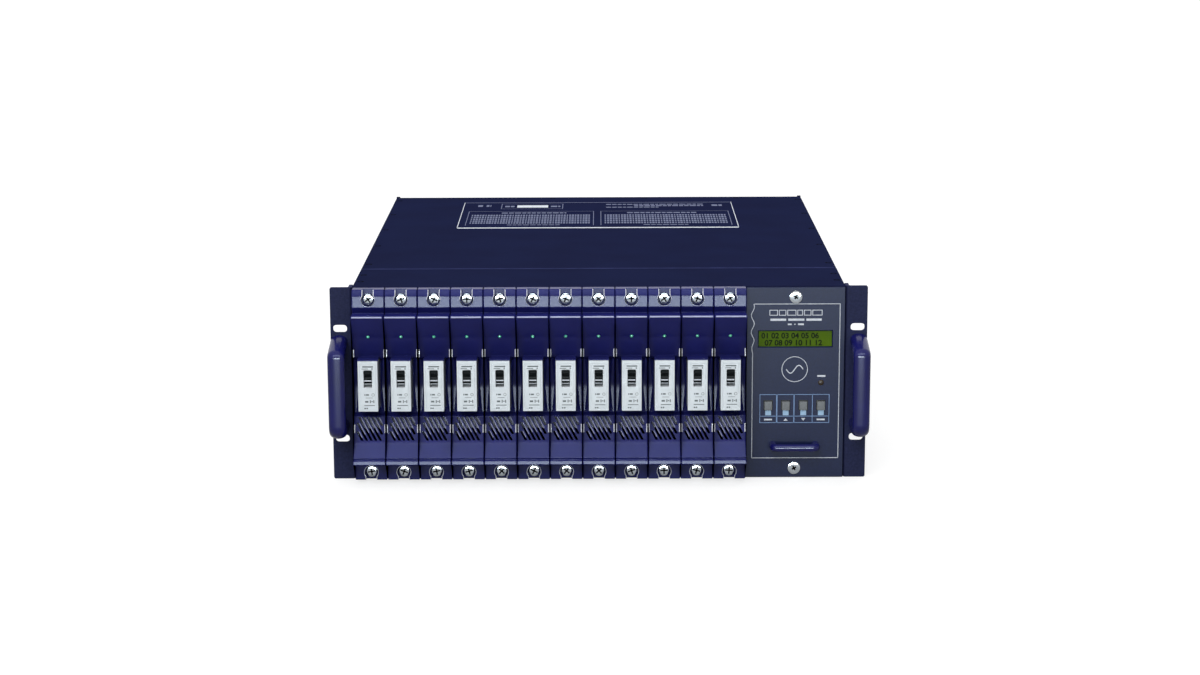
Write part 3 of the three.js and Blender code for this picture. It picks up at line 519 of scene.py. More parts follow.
# Each row: the slot, the colour (a tint or a hex value), the colour of its blotches, their size in mm,
# the grain of the surface in mm, its height in mm, the roughness from and to, the colour of its edges
FINISHES = {
    # Powder coated steel: fine orange peel, a dull sheen and slightly paler rubbed edges
    "powder_coat_case": look(
        "case_steel", "case", "#1e2341", 60, 0.9, 0.02, 0.7, 0.82, "#2a2f50", level=0.0,
    ),
    # Painted highlight: the same coat, a little paler, on the cover's front edge and in the ears' bends
    "rubbed_powder_coat": look(
        "case_steel", "#343960", "#2c3154", 12, 0.9, 0.01, 0.6, 0.75, "#343960", level=0.0,
    ),
    # Powder coated steel with a coarser, sandy texture on the ears
    "powder_coat_ear": look(
        "ear_steel", "ear", "#1f2342", 1.8, 0.8, 0.06, 0.48, 0.64, "#565b82", level=0.03,
    ),
    # Powder coated steel with a fine grain on the control panel, drawn coarser than it is to show
    "powder_coat_panel": look(
        "panel_steel", "panel", "#131a3c", 1.4, 1.1, 0.05, 0.34, 0.44, "#565c78", level=0.078,
    ),
    # Injection moulded ABS: even colour, a satin gloss with a very fine spark-eroded texture
    "moulded_abs_fascia": look(
        "fascia_moulding", "fascia", "#222567", 25, 0.7, 0.004, 0.22, 0.27, "#4d528c", level=0.1,
    ),
    # Painted highlight: the same ABS made near white on the edge ridges and pocket rims, standing in for
    # glints
    "rubbed_abs": look(
        "fascia_moulding", "#eef1ff", "#f2f5ff", 10, 0.9, 0.001, 0.15, 0.2, "#f4f6ff", level=0.5,
    ),
    # Painted highlight, dimmer: the same ABS made pale on the ledge's front edge and the ridges beside
    # the air slots
    "dulled_abs": look(
        "fascia_moulding", "#9ba0c2", "#a5aaca", 10, 0.9, 0.001, 0.22, 0.27, "#aaafcf", level=0.2,
    ),
    # Injection moulded nylon: deeper navy, glossier, with faint flow marks
    "moulded_nylon_handle": look(
        "handle_moulding", "handle", "#161855", 18, 0.5, 0.001, 0.2, 0.23, "#33376c", ior=1.55,
        level=0.22,
    ),
    # Thermoset breaker housing: off-white, satin, faintly mottled
    "moulded_thermoset": look("breaker_white", "breaker", "#bcc2c7", 7, 0.6, 0.01, 0.38, 0.5, "#e6ebee"),
    # Black polyamide toggle: satin black
    "moulded_polyamide": look(
        "toggle_black", "#090c0e", "#0d1113", 5, 0.6, 0.01, 0.35, 0.48, "#20272b", level=0.04,
    ),
    # Glass-filled nylon: matt black with a stippled surface
    "glass_filled_nylon": look(
        "fan_black", "#17191c", "#202327", 14, 0.9, 0.03, 0.5, 0.65, "#30343a", ior=1.53,
    ),
    # Black thermoplastic of the connectors: smoother and glossier than the fan
    "moulded_pbt": look(
        "connector_black", "#15171a", "#1d2024", 10, 0.8, 0.012, 0.32, 0.45, "#2e3238", ior=1.55,
    ),
    # Zinc plated steel sheet: pale metal with soft bluish clouds and fine rolling lines along its length
    "zinc_plated_sheet": look(
        "zinc_steel", "#aeb2b8", "#989da6", 16, 0.7, 0.01, 0.35, 0.5, "#c8ccd0", stretch=(1, 0.12, 1),
        metal=1.0,
    ),
    # Zinc plated screw: bright, with the fine marks of the driver
    "zinc_plated_screw": look(
        "zinc_steel", "#b9bdc2", "#a2a7ad", 2.2, 0.5, 0.003, 0.04, 0.07, "#dfe2e5", metal=1.0,
    ),
    # Black oxide screw: dark, slightly oily metal. Also the painted shade in the crosses of the pan
    # heads
    "black_oxide_screw": look(
        "case_steel", "#0b0c10", "#121319", 2, 0.5, 0.01, 0.3, 0.45, "#181a20", level=0.0,
    ),
    # Extruded aluminium heat sink: grey, with die lines along its length
    "extruded_aluminium": look(
        "zinc_steel", "#9a9ea6", "#868b94", 9, 0.8, 0.02, 0.35, 0.5, "#b4b8be", stretch=(1, 0.05, 1),
        metal=0.85,
    ),
    # Enamelled copper wire: warm brown-orange under a clear varnish
    "enamelled_copper": look(
        "zinc_steel", "#a85c2c", "#8a4620", 4, 0.8, 0.01, 0.2, 0.32, "#c77a44", metal=0.8, coat=0.6,
    ),
    # Pressed ferrite core: dull dark grey, slightly granular
    "ferrite": look(
        "connector_black", "#2a2b2e", "#343639", 3, 0.6, 0.03, 0.6, 0.75, "#3d4044", ior=1.6,
    ),
    # Machined brass contacts: yellow metal with fine turning marks
    "brass_contact": look(
        "zinc_steel", "#c2a15a", "#a98745", 1.5, 0.5, 0.006, 0.18, 0.3, "#dcc07c", metal=1.0,
    ),
    # Nickel plated shell: bright, slightly warm metal
    "nickel_plate": look(
        "zinc_steel", "#b9b6ae", "#a5a29b", 6, 0.6, 0.006, 0.18, 0.28, "#d0cdc6", metal=1.0,
    ),
    # Pale grey PVC, smooth and even: the bars that show through the air slots
    "pvc_sheet": look(
        "connector_black", "#b9bdcb", "#9fa4b6", 2.5, 0.7, 0.004, 0.5, 0.6, "#c4c8d4", ior=1.53,
        level=0.2,
    ),
    # Nitrile rubber seal: soft matt black. Also the keys' flanges, dark to paint the shade in the gap
    # round each key
    "nitrile_rubber_and_painted_shade": look(
        "connector_black", "#141414", "#1e1e1e", 4, 0.7, 0.02, 0.7, 0.85, "#242424", ior=1.52,
    ),
    # Silicone rubber key: light grey, slightly velvety
    "silicone_key": look(
        "key_grey", "#464649", "#505053", 3, 0.5, 0.012, 0.5, 0.62, "#6a696c", ior=1.42, sheen=0.15,
    ),
    # Solder mask over copper: green with paler tracks showing through it
    "solder_mask": look(
        "board_green", "#1f5a35", "#2f7448", 5, 1.2, 0.02, 0.25, 0.38, "#3a8354", cells=True, ior=1.55,
    ),
    # Liquid crystal behind its glass: yellow-green, mottled with faint cells and hardly glossy
    "liquid_crystal": look(
        "display_green", "display", "#48640b", 22, 0.7, 0.003, 0.12, 0.2, "#6b8c1a", cells=True,
        level=0.03,
    ),
    # Screen ink, white: flat and slightly rough on the paint under it
    "white_ink": ink("#dfe4ec", "#c9d0dc"),
    # Screen ink, pale blue: as the white, but tinted
    "blue_ink": ink("#7d9bc8", "#7190be"),
    # The same blue ink printed solid: paler
    "pale_blue_ink": ink("#a9cae8", "#9abddd"),
    # White screen ink in strokes too thin to cover the paint: a greyed blue
    "faded_ink": ink("#6c7391", "#5f6683", 0.6, 0.75),
    # Pad printed marks on the breakers: dull grey-black
    "grey_ink": look(
        "breaker_white", "#1c2126", "#242a30", 1.2, 0.5, 0.004, 0.5, 0.65, "#1c2126", ior=1.48,
    ),
    # Dark segments of the display
    "dark_segment": look(
        "display_green", "#0b1404", "#101c06", 2, 0.5, 0.002, 0.2, 0.3, "#0b1404", level=0.02,
    ),
    # Tinted epoxy lens of a small lamp: glossy, coloured through
    "epoxy_lens_teal": look(
        "display_green", "lamp", "#6fe0bd", 1.5, 0.8, 0.004, 0.1, 0.18, "#7fe0c6", ior=1.54, inside=0.2,
        depth=0.001, coat=0.5,
    ),
    # The status lamp, unlit: smoky brown
    "epoxy_lens_brown": look(
        "toggle_black", "#33271f", "#43352a", 0.9, 0.8, 0.004, 0.3, 0.4, "#5b4a3c", ior=1.54, level=0.12,
    ),
    # PVC insulated wire in the wiring's three colours
    "pvc_wire_brown": wire("#5b3420", "#6a3e27", 6, "#7a4b31"),
    "pvc_wire_blue": wire("#1f4f9c", "#2a5cac", 6, "#3d6fbd"),
    "pvc_wire_green": wire("#2f7a3a", "#a5a32a", 3, "#4a9455"),
    # Polyester tape round the transformer: amber and glossy
    "polyester_tape": look(
        "breaker_white", "#c9a13a", "#b98f2c", 5, 1.2, 0.01, 0.15, 0.28, "#ddb956", ior=1.6, coat=0.4,
    ),
    # Stacked silicon steel sheets of the transformer: dark, with the lines between the sheets
    "laminated_steel": look(
        "case_steel", "#4a4d55", "#2f3138", 1.2, 0.8, 0.03, 0.4, 0.55, "#6b6e76",
        stretch=(0.05, 1, 0.05), metal=0.7,
    ),
}


def surface_colour(value):
    """A tint of the property group by its name, or a hex value."""
    if value.startswith("#"):
        return (*linear(value), 1)
    return (*getattr(bpy.context.scene.dimmer_tints, value), 1)


def finish(name):
    """The material of a finish. Blotches mix two colours, the grain bends the surface and varies its
    roughness, and edges that stand out are rubbed paler. Sizes in mm give the patterns' scales."""
    if name in bpy.data.materials:
        return bpy.data.materials[name]
    row = FINISHES[name]
    material = bpy.data.materials.new(name)
    material.use_nodes = True
    tree = material.node_tree
    shader = tree.nodes["Principled BSDF"]
    where = add(tree, "ShaderNodeTexCoord")
    spread = add(tree, "ShaderNodeMapping", {
        "Vector": where.outputs["Object"], "Scale": row["stretch"],
    })
    spots = add(tree, "ShaderNodeTexNoise", {
        "Vector": spread.outputs["Vector"], "Scale": 1 / (row["spot"] * MM), "Detail": 3.0,
    })
    kind = "ShaderNodeTexVoronoi" if row["cells"] else "ShaderNodeTexNoise"
    grain = add(tree, kind, {
        "Vector": spread.outputs["Vector"], "Scale": 1 / (row["grain"] * MM),
    })
    height = grain.outputs["Distance" if row["cells"] else "Fac"]
    band = add(tree, "ShaderNodeMapRange", {
        "Value": spots.outputs["Fac"], "From Min": 0.35, "From Max": 0.65,
    })
    mixed = add(tree, "ShaderNodeMix", {
        0: band.outputs["Result"], 6: surface_colour(row["base"]), 7: surface_colour(row["blotch"]),
    }, data_type="RGBA")
    form = add(tree, "ShaderNodeNewGeometry")
    eased = add(tree, "ShaderNodeBevel", {"Radius": 0.5 * MM}, samples=4)
    turn = add(tree, "ShaderNodeVectorMath", {
        0: eased.outputs["Normal"], 1: form.outputs["Normal"],
    }, operation="DOT_PRODUCT")
    rubbed = add(tree, "ShaderNodeMapRange", {
        "Value": turn.outputs["Value"], "From Min": 0.99, "From Max": 0.8, "To Max": 0.5,
    })
    worn = add(tree, "ShaderNodeMix", {
        0: rubbed.outputs["Result"], 6: mixed.outputs[2], 7: surface_colour(row["edge"]),
    }, data_type="RGBA")
    rough = add(tree, "ShaderNodeMapRange", {
        "Value": height, "From Min": 0.3, "From Max": 0.7, "To Min": row["smoothest"],
        "To Max": row["roughest"],
    })
    bump = add(tree, "ShaderNodeBump", {
        "Height": height, "Strength": 1.0, "Distance": row["lift"] * MM,
    })
    tree.links.new(worn.outputs[2], shader.inputs["Base Color"])
    tree.links.new(rough.outputs["Result"], shader.inputs["Roughness"])
    tree.links.new(bump.outputs["Normal"], shader.inputs["Normal"])
    for socket, value in row["shader"].items():
        shader.inputs[socket].default_value = value
    return material


def place(name, shape, surface, body, replaces=()):
    """Puts a shape into the scene as a piece: in metres, in the frame, shaded smooth but for its sharp
    edges, riding on its body."""
    mesh = clean_mesh(shape, name)
    mesh.transform(Matrix.Translation((0, FRONT, 0)) @ Matrix.Scale(MM, 4))
    mesh.polygons.foreach_set("use_smooth", np.ones(len(mesh.polygons), bool))
    mesh.set_sharp_from_angle(angle=SHARP_FROM)
    mesh.materials.append(finish(surface))
    piece = linked(name, mesh)
    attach(piece, body)
    if replaces:
        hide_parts(*replaces)
    piece.modifiers.new("even_shading", "WEIGHTED_NORMAL").keep_sharp = True


def place_in_bays(*rows):
    """Puts the shape of each row into every bay. A row has the piece's name, its shape or a list with
    one for each bay, its finish, the body it rides on and the node it replaces, if any. The names are
    without the bay's number."""
    for at, bay in enumerate(BAYS):
        for name, shape, surface, body, *nodes in rows:
            shape = shape[at] if isinstance(shape, list) else shape
            place(
                f"{name}_{bay}", moved(shape, BAY_LEFT[bay]), surface, f"{body}_{bay}",
                [f"{node}_{bay}" for node in nodes],
            )


# Fasteners

def pan_screw(radius, height, reach=0.6):
    """A pan head that faces -Y with its seat at zero: a domed profile with a cross cut into it."""
    profile = [
        (0, -height), (radius * 0.55, -height * 0.99), (radius * 0.82, -height * 0.92),
        (radius * 0.94, -height * 0.76), (radius * 0.99, -height * 0.5), (radius, -height * 0.2),
        (radius, 0.4), (radius * 0.7, 0.5), (radius * 0.7, 4.5), (0, 4.5),
    ]
    head = lathe(profile, "y", (0, 0, 0), 28)
    wing, reach, depth = radius * 0.15, radius * reach, height * 0.9
    for turn in (0, math.pi / 2):
        rings = [
            upright(rectangle(-w, w, -r, r), y)
            for w, r, y in ((wing * 0.5, reach * 0.4, depth - height), (wing, reach, -height - 0.5))
        ]
        head = cut(head, turned(loft(rings), "y", turn))
    return head


def painted_shade_cross(radius, height, reach):
    """Painted shade in a pan head's cross: two dark crossed bars a little below its top, where the
    recess is in shadow.
    """
    wing, reach = radius * 0.15, radius * reach
    bars = [(-wing, -reach, wing, reach), (-reach, -wing, reach, wing)]
    return prints(bars, "y", 0.35 - height, -0.1)


def sunk_screw(radius):
    """A countersunk head, flush with a surface that faces -Y: a shallow cone with a round recess."""
    profile = [
        (0, 1.1), (radius * 0.2, 1.1), (radius * 0.42, 0.05), (radius * 0.86, -0.12),
        (radius, 0.0), (radius, 0.3), (radius * 0.5, 1.6), (0, 1.6),
    ]
    return lathe(profile, "y", (0, 0, 0), 24)


def upward(shape):
    """A shape that faces -Y, turned to face up."""
    return turned(shape, "x", -math.pi / 2)


def sideways(shape, side):
    """A shape that faces -Y, turned to face along X to one side."""
    return turned(shape, "z", side * math.pi / 2)


def backward(shape):
    """A shape that faces -Y, turned to face the other way."""
    return turned(shape, "z", math.pi)


# Pieces

class Builder:
    """What every operator of this file shares."""

    bl_options = {"REGISTER", "UNDO"}

    def execute(self, context):
        self.build(context.scene)
        return {"FINISHED"}


class DIMMER_OT_stage(Builder, bpy.types.Operator):
    """Makes the floor, the soft lights and the camera"""

    bl_idname = "dimmer.stage"
    bl_label = "Stage"

    def build(self, scene):
        studio = scene.dimmer_studio
        reach = 9
        corners = [(-reach, -reach, 0), (reach, -reach, 0), (reach, reach, 0), (-reach, reach, 0)]
        mesh = bpy.data.meshes.new("floor")
        mesh.from_pydata(corners, [], [(0, 1, 2, 3)])
        mesh.materials.append(self.floor_paint())
        floor = linked("floor", mesh)
        for name, power, where, spread in (
            ("overhead", studio.overhead, (-0.1, 0.35, 2), 56),
            ("front", studio.front, (-0.6, -2, 1.9), 40),
        ):
            lamp = self.lamp(name, "SUN", power, where, (0, 0, 0), angle=math.radians(spread))
            lamp.visible_glossy = False
        strip = self.lamp("strip", "AREA", studio.strip, (0, FRONT - 1.3, 0.12), (0, FRONT, 0.12),
                          shape="RECTANGLE", size=1.3, size_y=0.22)
        hood = self.lamp("hood", "AREA", studio.hood, (0, FRONT - 0.96, 1.15), (0, FRONT, 0.1),
                         shape="RECTANGLE", size=1.6, size_y=0.55)
        for cool in (strip, hood):
            cool.visible_diffuse = False
            cool.data.color = (0.82, 0.95, 1.0)
        self.world(scene, studio.ambient)
        camera = bpy.data.cameras.new("camera")
        camera.lens, camera.sensor_width = studio.lens, 36
        eye = linked("camera", camera)
        eye.matrix_world = (
            Matrix.Translation((MM, FRONT - studio.distance, studio.height))
            @ Matrix.Rotation(math.pi / 2 - studio.pitch, 4, "X")
            @ Matrix.Rotation(studio.roll, 4, "Z")
        )
        scene.camera = eye
        scene.view_settings.view_transform = "Standard"

    def lamp(self, name, kind, power, where, aim, **settings):
        """A lamp that shines from one place to another."""
        data = bpy.data.lights.new(name, kind)
        data.energy = power
        for key, value in settings.items():
            setattr(data, key, value)
        lamp = linked(name, data)
        lamp.location = where
        lamp.rotation_euler = (Vector(where) - Vector(aim)).to_track_quat("Z", "Y").to_euler()
        return lamp

    def seen_directly(self, tree, gloss):
        """One for camera and transmission rays and the share gloss for glossy rays, otherwise zero."""
        ray = add(tree, "ShaderNodeLightPath").outputs
        in_gloss = self.sum_of(tree, "MULTIPLY", ray["Is Glossy Ray"], gloss)
        either = self.sum_of(tree, "MAXIMUM", ray["Is Camera Ray"], in_gloss)
        return self.sum_of(tree, "MAXIMUM", either, ray["Is Transmission Ray"])

    def sum_of(self, tree, operation, first, second):
        """The output of a node that works out one number from two."""
        return add(tree, "ShaderNodeMath", {0: first, 1: second}, operation=operation).outputs[0]

    def world(self, scene, ambient):
        world = bpy.data.worlds.new("studio")
        scene.world = world
        world.use_nodes = True
        tree = world.node_tree
        lit = tree.nodes["Background"]
        lit.inputs["Strength"].default_value = ambient
        lit.inputs["Color"].default_value = (1, 1, 1, 1)
        seen = add(tree, "ShaderNodeBackground", {"Color": (1, 1, 1, 1), "Strength": 1.0})
        mix = add(tree, "ShaderNodeMixShader", {0: self.seen_directly(tree, 1.0)})
        tree.links.new(lit.outputs[0], mix.inputs[1])
        tree.links.new(seen.outputs[0], mix.inputs[2])
        tree.links.new(mix.outputs[0], tree.nodes["World Output"].inputs["Surface"])

    def floor_paint(self):
        """Matt painted board, pale grey with a faint mottle. It glows just enough to be white where it
        is seen directly, and less in gloss."""
        material = bpy.data.materials.new("matt_painted_board")
        material.use_nodes = True
        tree = material.node_tree
        shader = tree.nodes["Principled BSDF"]
        where = add(tree, "ShaderNodeTexCoord")
        mottle = add(tree, "ShaderNodeTexNoise", {"Vector": where.outputs["Object"], "Scale": 6.0})
        shade = add(tree, "ShaderNodeMapRange", {
            "Value": mottle.outputs["Fac"], "To Min": 0.3, "To Max": 0.33,
        })
        tree.links.new(shade.outputs["Result"], shader.inputs["Base Color"])
        shader.inputs["Roughness"].default_value = 0.9
        glow, share_in_gloss = 0.72, 0.4
        strength = self.sum_of(tree, "MULTIPLY", self.seen_directly(tree, share_in_gloss), glow)
        shader.inputs["Emission Color"].default_value = (1, 1, 1, 1)
        tree.links.new(strength, shader.inputs["Emission Strength"])
        return material


class DIMMER_OT_case(Builder, bpy.types.Operator):
    """Makes the base, the side walls, the front strip, the cover and their screws"""

    bl_idname = "dimmer.case"
    bl_label = "Case"

    def build(self, scene):
        fold, screw = in_mm(scene.dimmer_case, "fold", "cover_screw")
        for node in ("base_plate", "side_wall_left", "side_wall_right", "front_top_strip"):
            place(f"{node}_sheet", from_node(node, 0.35), "powder_coat_case", "chassis", [node])
        low, high = node_box("top_cover")
        cover = slab((low[0], high[0]), (low[1], high[1]), (low[2], high[2]), fold, "z", 1.2)
        place("cover_sheet", cover, "powder_coat_case", "chassis", ["top_cover"])
        # A pale strip on the cover's front edge: a painted highlight of its fold
        front_edge = (low[0] + 2, low[1] + 0.5, high[0] - 2, low[1] + 4.5)
        place("cover_edge_highlight", prints([front_edge], "z", PACK_HEIGHT, 0.04), "rubbed_powder_coat",
              "chassis")
        places = [(side * (CASE_HIGH[0] - 5.2), y, PACK_HEIGHT)
                  for side in (-1, 1) for y in (28, 60, 115, 215, 310, 405, 498)]
        places += [(x, high[1] - 6, PACK_HEIGHT) for x in (-150, -50, 50, 150)]
        heads = repeated(upward(sunk_screw(screw)), places)
        place("cover_screws", heads, "black_oxide_screw", "chassis")
        places = [(x, y, 0.2) for x in (-200, -100, 0, 100, 200) for y in (9, 289, 505)]
        downward = turned(sunk_screw(screw), "x", math.pi / 2)
        place("base_screws", repeated(downward, places), "black_oxide_screw", "chassis")
        places = ((60, 12), (250, 12), (440, 12), (508, 40), (508, 135))
        wall = [
            repeated(sideways(sunk_screw(2.6), side), [(side * CASE_HIGH[0], y, z) for y, z in places])
            for side in (-1, 1)
        ]
        place("wall_screws", joined(*wall), "black_oxide_screw", "chassis")


class DIMMER_OT_cover_table(Builder, bpy.types.Operator):
    """Makes the printed table at the rear of the cover, with bars and ticks in place of words"""

    bl_idname = "dimmer.cover_table"
    bl_label = "Cover table"

    def build(self, scene):
        left, right, front, rear = -144.5, 143, 316, 483
        lines = [
            (left, front, right, front + 5.0), (left, front, left + 0.7, rear),
            (right - 0.7, front, right, rear), (-87, 449, -54, 464),
        ]
        place("cover_table_lines", prints(lines, "z", PACK_HEIGHT, 0.05), "white_ink", "chassis")
        ticks = [(left, rear - 1.6, right, rear), *framed(-104, 440, -38, 474, 0.8)]
        columns, rows, margin, row_pitch = 44, 5, 3.5, 12
        for x0, x1 in ((-137, -5), (2, 137)):
            ticks += framed(x0, 333, x1, 424, 0.7)[1:]
            for column in range(columns):
                u = x0 + margin + (column + 0.5) * (x1 - x0 - 2 * margin) / columns
                for row in range(rows):
                    half = 0.7 + 0.5 * ((column * 7 + row * 5) % 5) / 4
                    ticks.append((u - half, 345 + row_pitch * row, u + half, 353.5 + row_pitch * row))
        for at, end, low, high in (
            (-102, -34, 410, 416), (-94, -40, 335, 338.5), (30, 103, 410, 416), (46, 92, 335, 338.5),
            (8, 64, 447, 452), (38, 112, 456, 462), (8, 112, 466, 471), (-129, -124, 455, 466),
            (-120, -115, 455, 466), (-100, -90, 452, 461), (-51, -41, 452, 461), (121, 132, 456, 466),
        ):
            while at < end:
                reach = 3.0 + (at * 7.3) % 4.0
                ticks.append((at, low, min(at + reach, end), high))
                at += reach + 1.1
        place("cover_table_ticks", prints(ticks, "z", PACK_HEIGHT, 0.04), "faded_ink", "chassis")


class DIMMER_OT_ears(Builder, bpy.types.Operator):
    """Makes the rack ears with their bend, slots and screws, and the bow handles on them"""

    bl_idname = "dimmer.ears"
    bl_label = "Ears and handles"

    def build(self, scene):
        bend, corner, rounding = in_mm(scene.dimmer_case, "bend", "ear_corner", "handle_edge")
        low, high = node_box("rack_ear_right")
        inner, outer, height = low[0], high[0], high[2]
        flange = inner + 3.5
        angle = [(inner, 0), (outer, 0), (outer, 2.5), (flange, 2.5), (flange, 14), (inner, 14)]
        ear = bar(soften(angle, [bend, 0.5, 0.4, 1.4, 0.4, 0.4], 5), "z", 0, height, 0.4)
        slot_x, slot_reach = 232.55, 50.8
        cutters = [
            bar(soften(rectangle(slot_x - 6.3, slot_x + 6.3, z - 3.4, z + 3.4), 3.3, 5), "y", -2, 5)
            for z in (height / 2 - slot_reach, height / 2 + slot_reach)
        ]
        for z, side in ((0, 1), (height, -1)):
            curve = arc(outer - corner, z + side * corner, corner, 0, -side * math.pi / 2, 6)
            cutters.append(bar([
                (outer + 2, z + side * corner), *curve, (outer - corner, z - side * 2),
                (outer + 2, z - side * 2),
            ], "y", -2, 5))
        ear = cut(ear, *cutters)
        handle, feet = self.handle(node_box("rack_handle_right"), rounding)
        screws = repeated(sideways(sunk_screw(2.6), 1), [(flange, 9, z) for z in (16, 62, 115, 161)])
        # A pale tube in each ear's bend: a painted highlight line
        crease = [(inner + 1.5, 1.25, z) for z in (1.0, height / 2, height - 1.0)]
        rows = (
            ("ear_crease", tube(crease, 0.75, 12, (1, 0, 0)), "rubbed_powder_coat"),
            ("ear", ear, "powder_coat_ear", "rack_ear"),
            ("bow_handle", handle, "moulded_nylon_handle", "rack_handle"),
            ("handle_feet", feet, "moulded_nylon_handle"),
            ("ear_screws", screws, "black_oxide_screw"),
        )
        for side in ("right", "left"):
            for name, shape, surface, *nodes in rows:
                shape = shape if side == "right" else mirrored(shape)
                place(f"{name}_{side}", shape, surface, "chassis", [f"{node}_{side}" for node in nodes])

    def handle(self, box, rounding):
        """The bow, seen from its side, is carried across with nearly round edges. Its feet run on
        behind the ear and are cut off flat on it."""
        (x0, reach, foot), (x1, _, top) = box
        bow, arm = 11, 12
        outline = [
            (8, top + 2.2), (-2, top - 0.2), (reach + 4, top - 7), (reach, top - 11), (reach, foot + 8),
            (reach + 8, foot), (8, foot), (8, foot + arm), (reach + bow, foot + arm + 3),
            (reach + bow, top - 7 - arm), (-2, top - arm + 0.4), (8, top - arm + 2.4),
        ]
        reaches = [0, 3, 5, 4, 8, 8, 0, 0, 5, 4, 2, 0]
        shape = bar(soften(outline, reaches, 5), "x", x0, x1, rounding, 7, (x1 - x0) / 2 - 0.3)
        shape = cut(shape, slab((x0 - 5, x1 + 5), (-0.1, 30), (foot - 5, top + 9), 0))
        feet = joined(*[
            slab((x0 + 0.2, x1 - 0.2), (-1.6, -0.05), span, 0.5, "y", 5.0)
            for span in ((top - 12.5, top - 1.2), (foot + 0.6, foot + arm - 0.2))
        ])
        return shape, feet


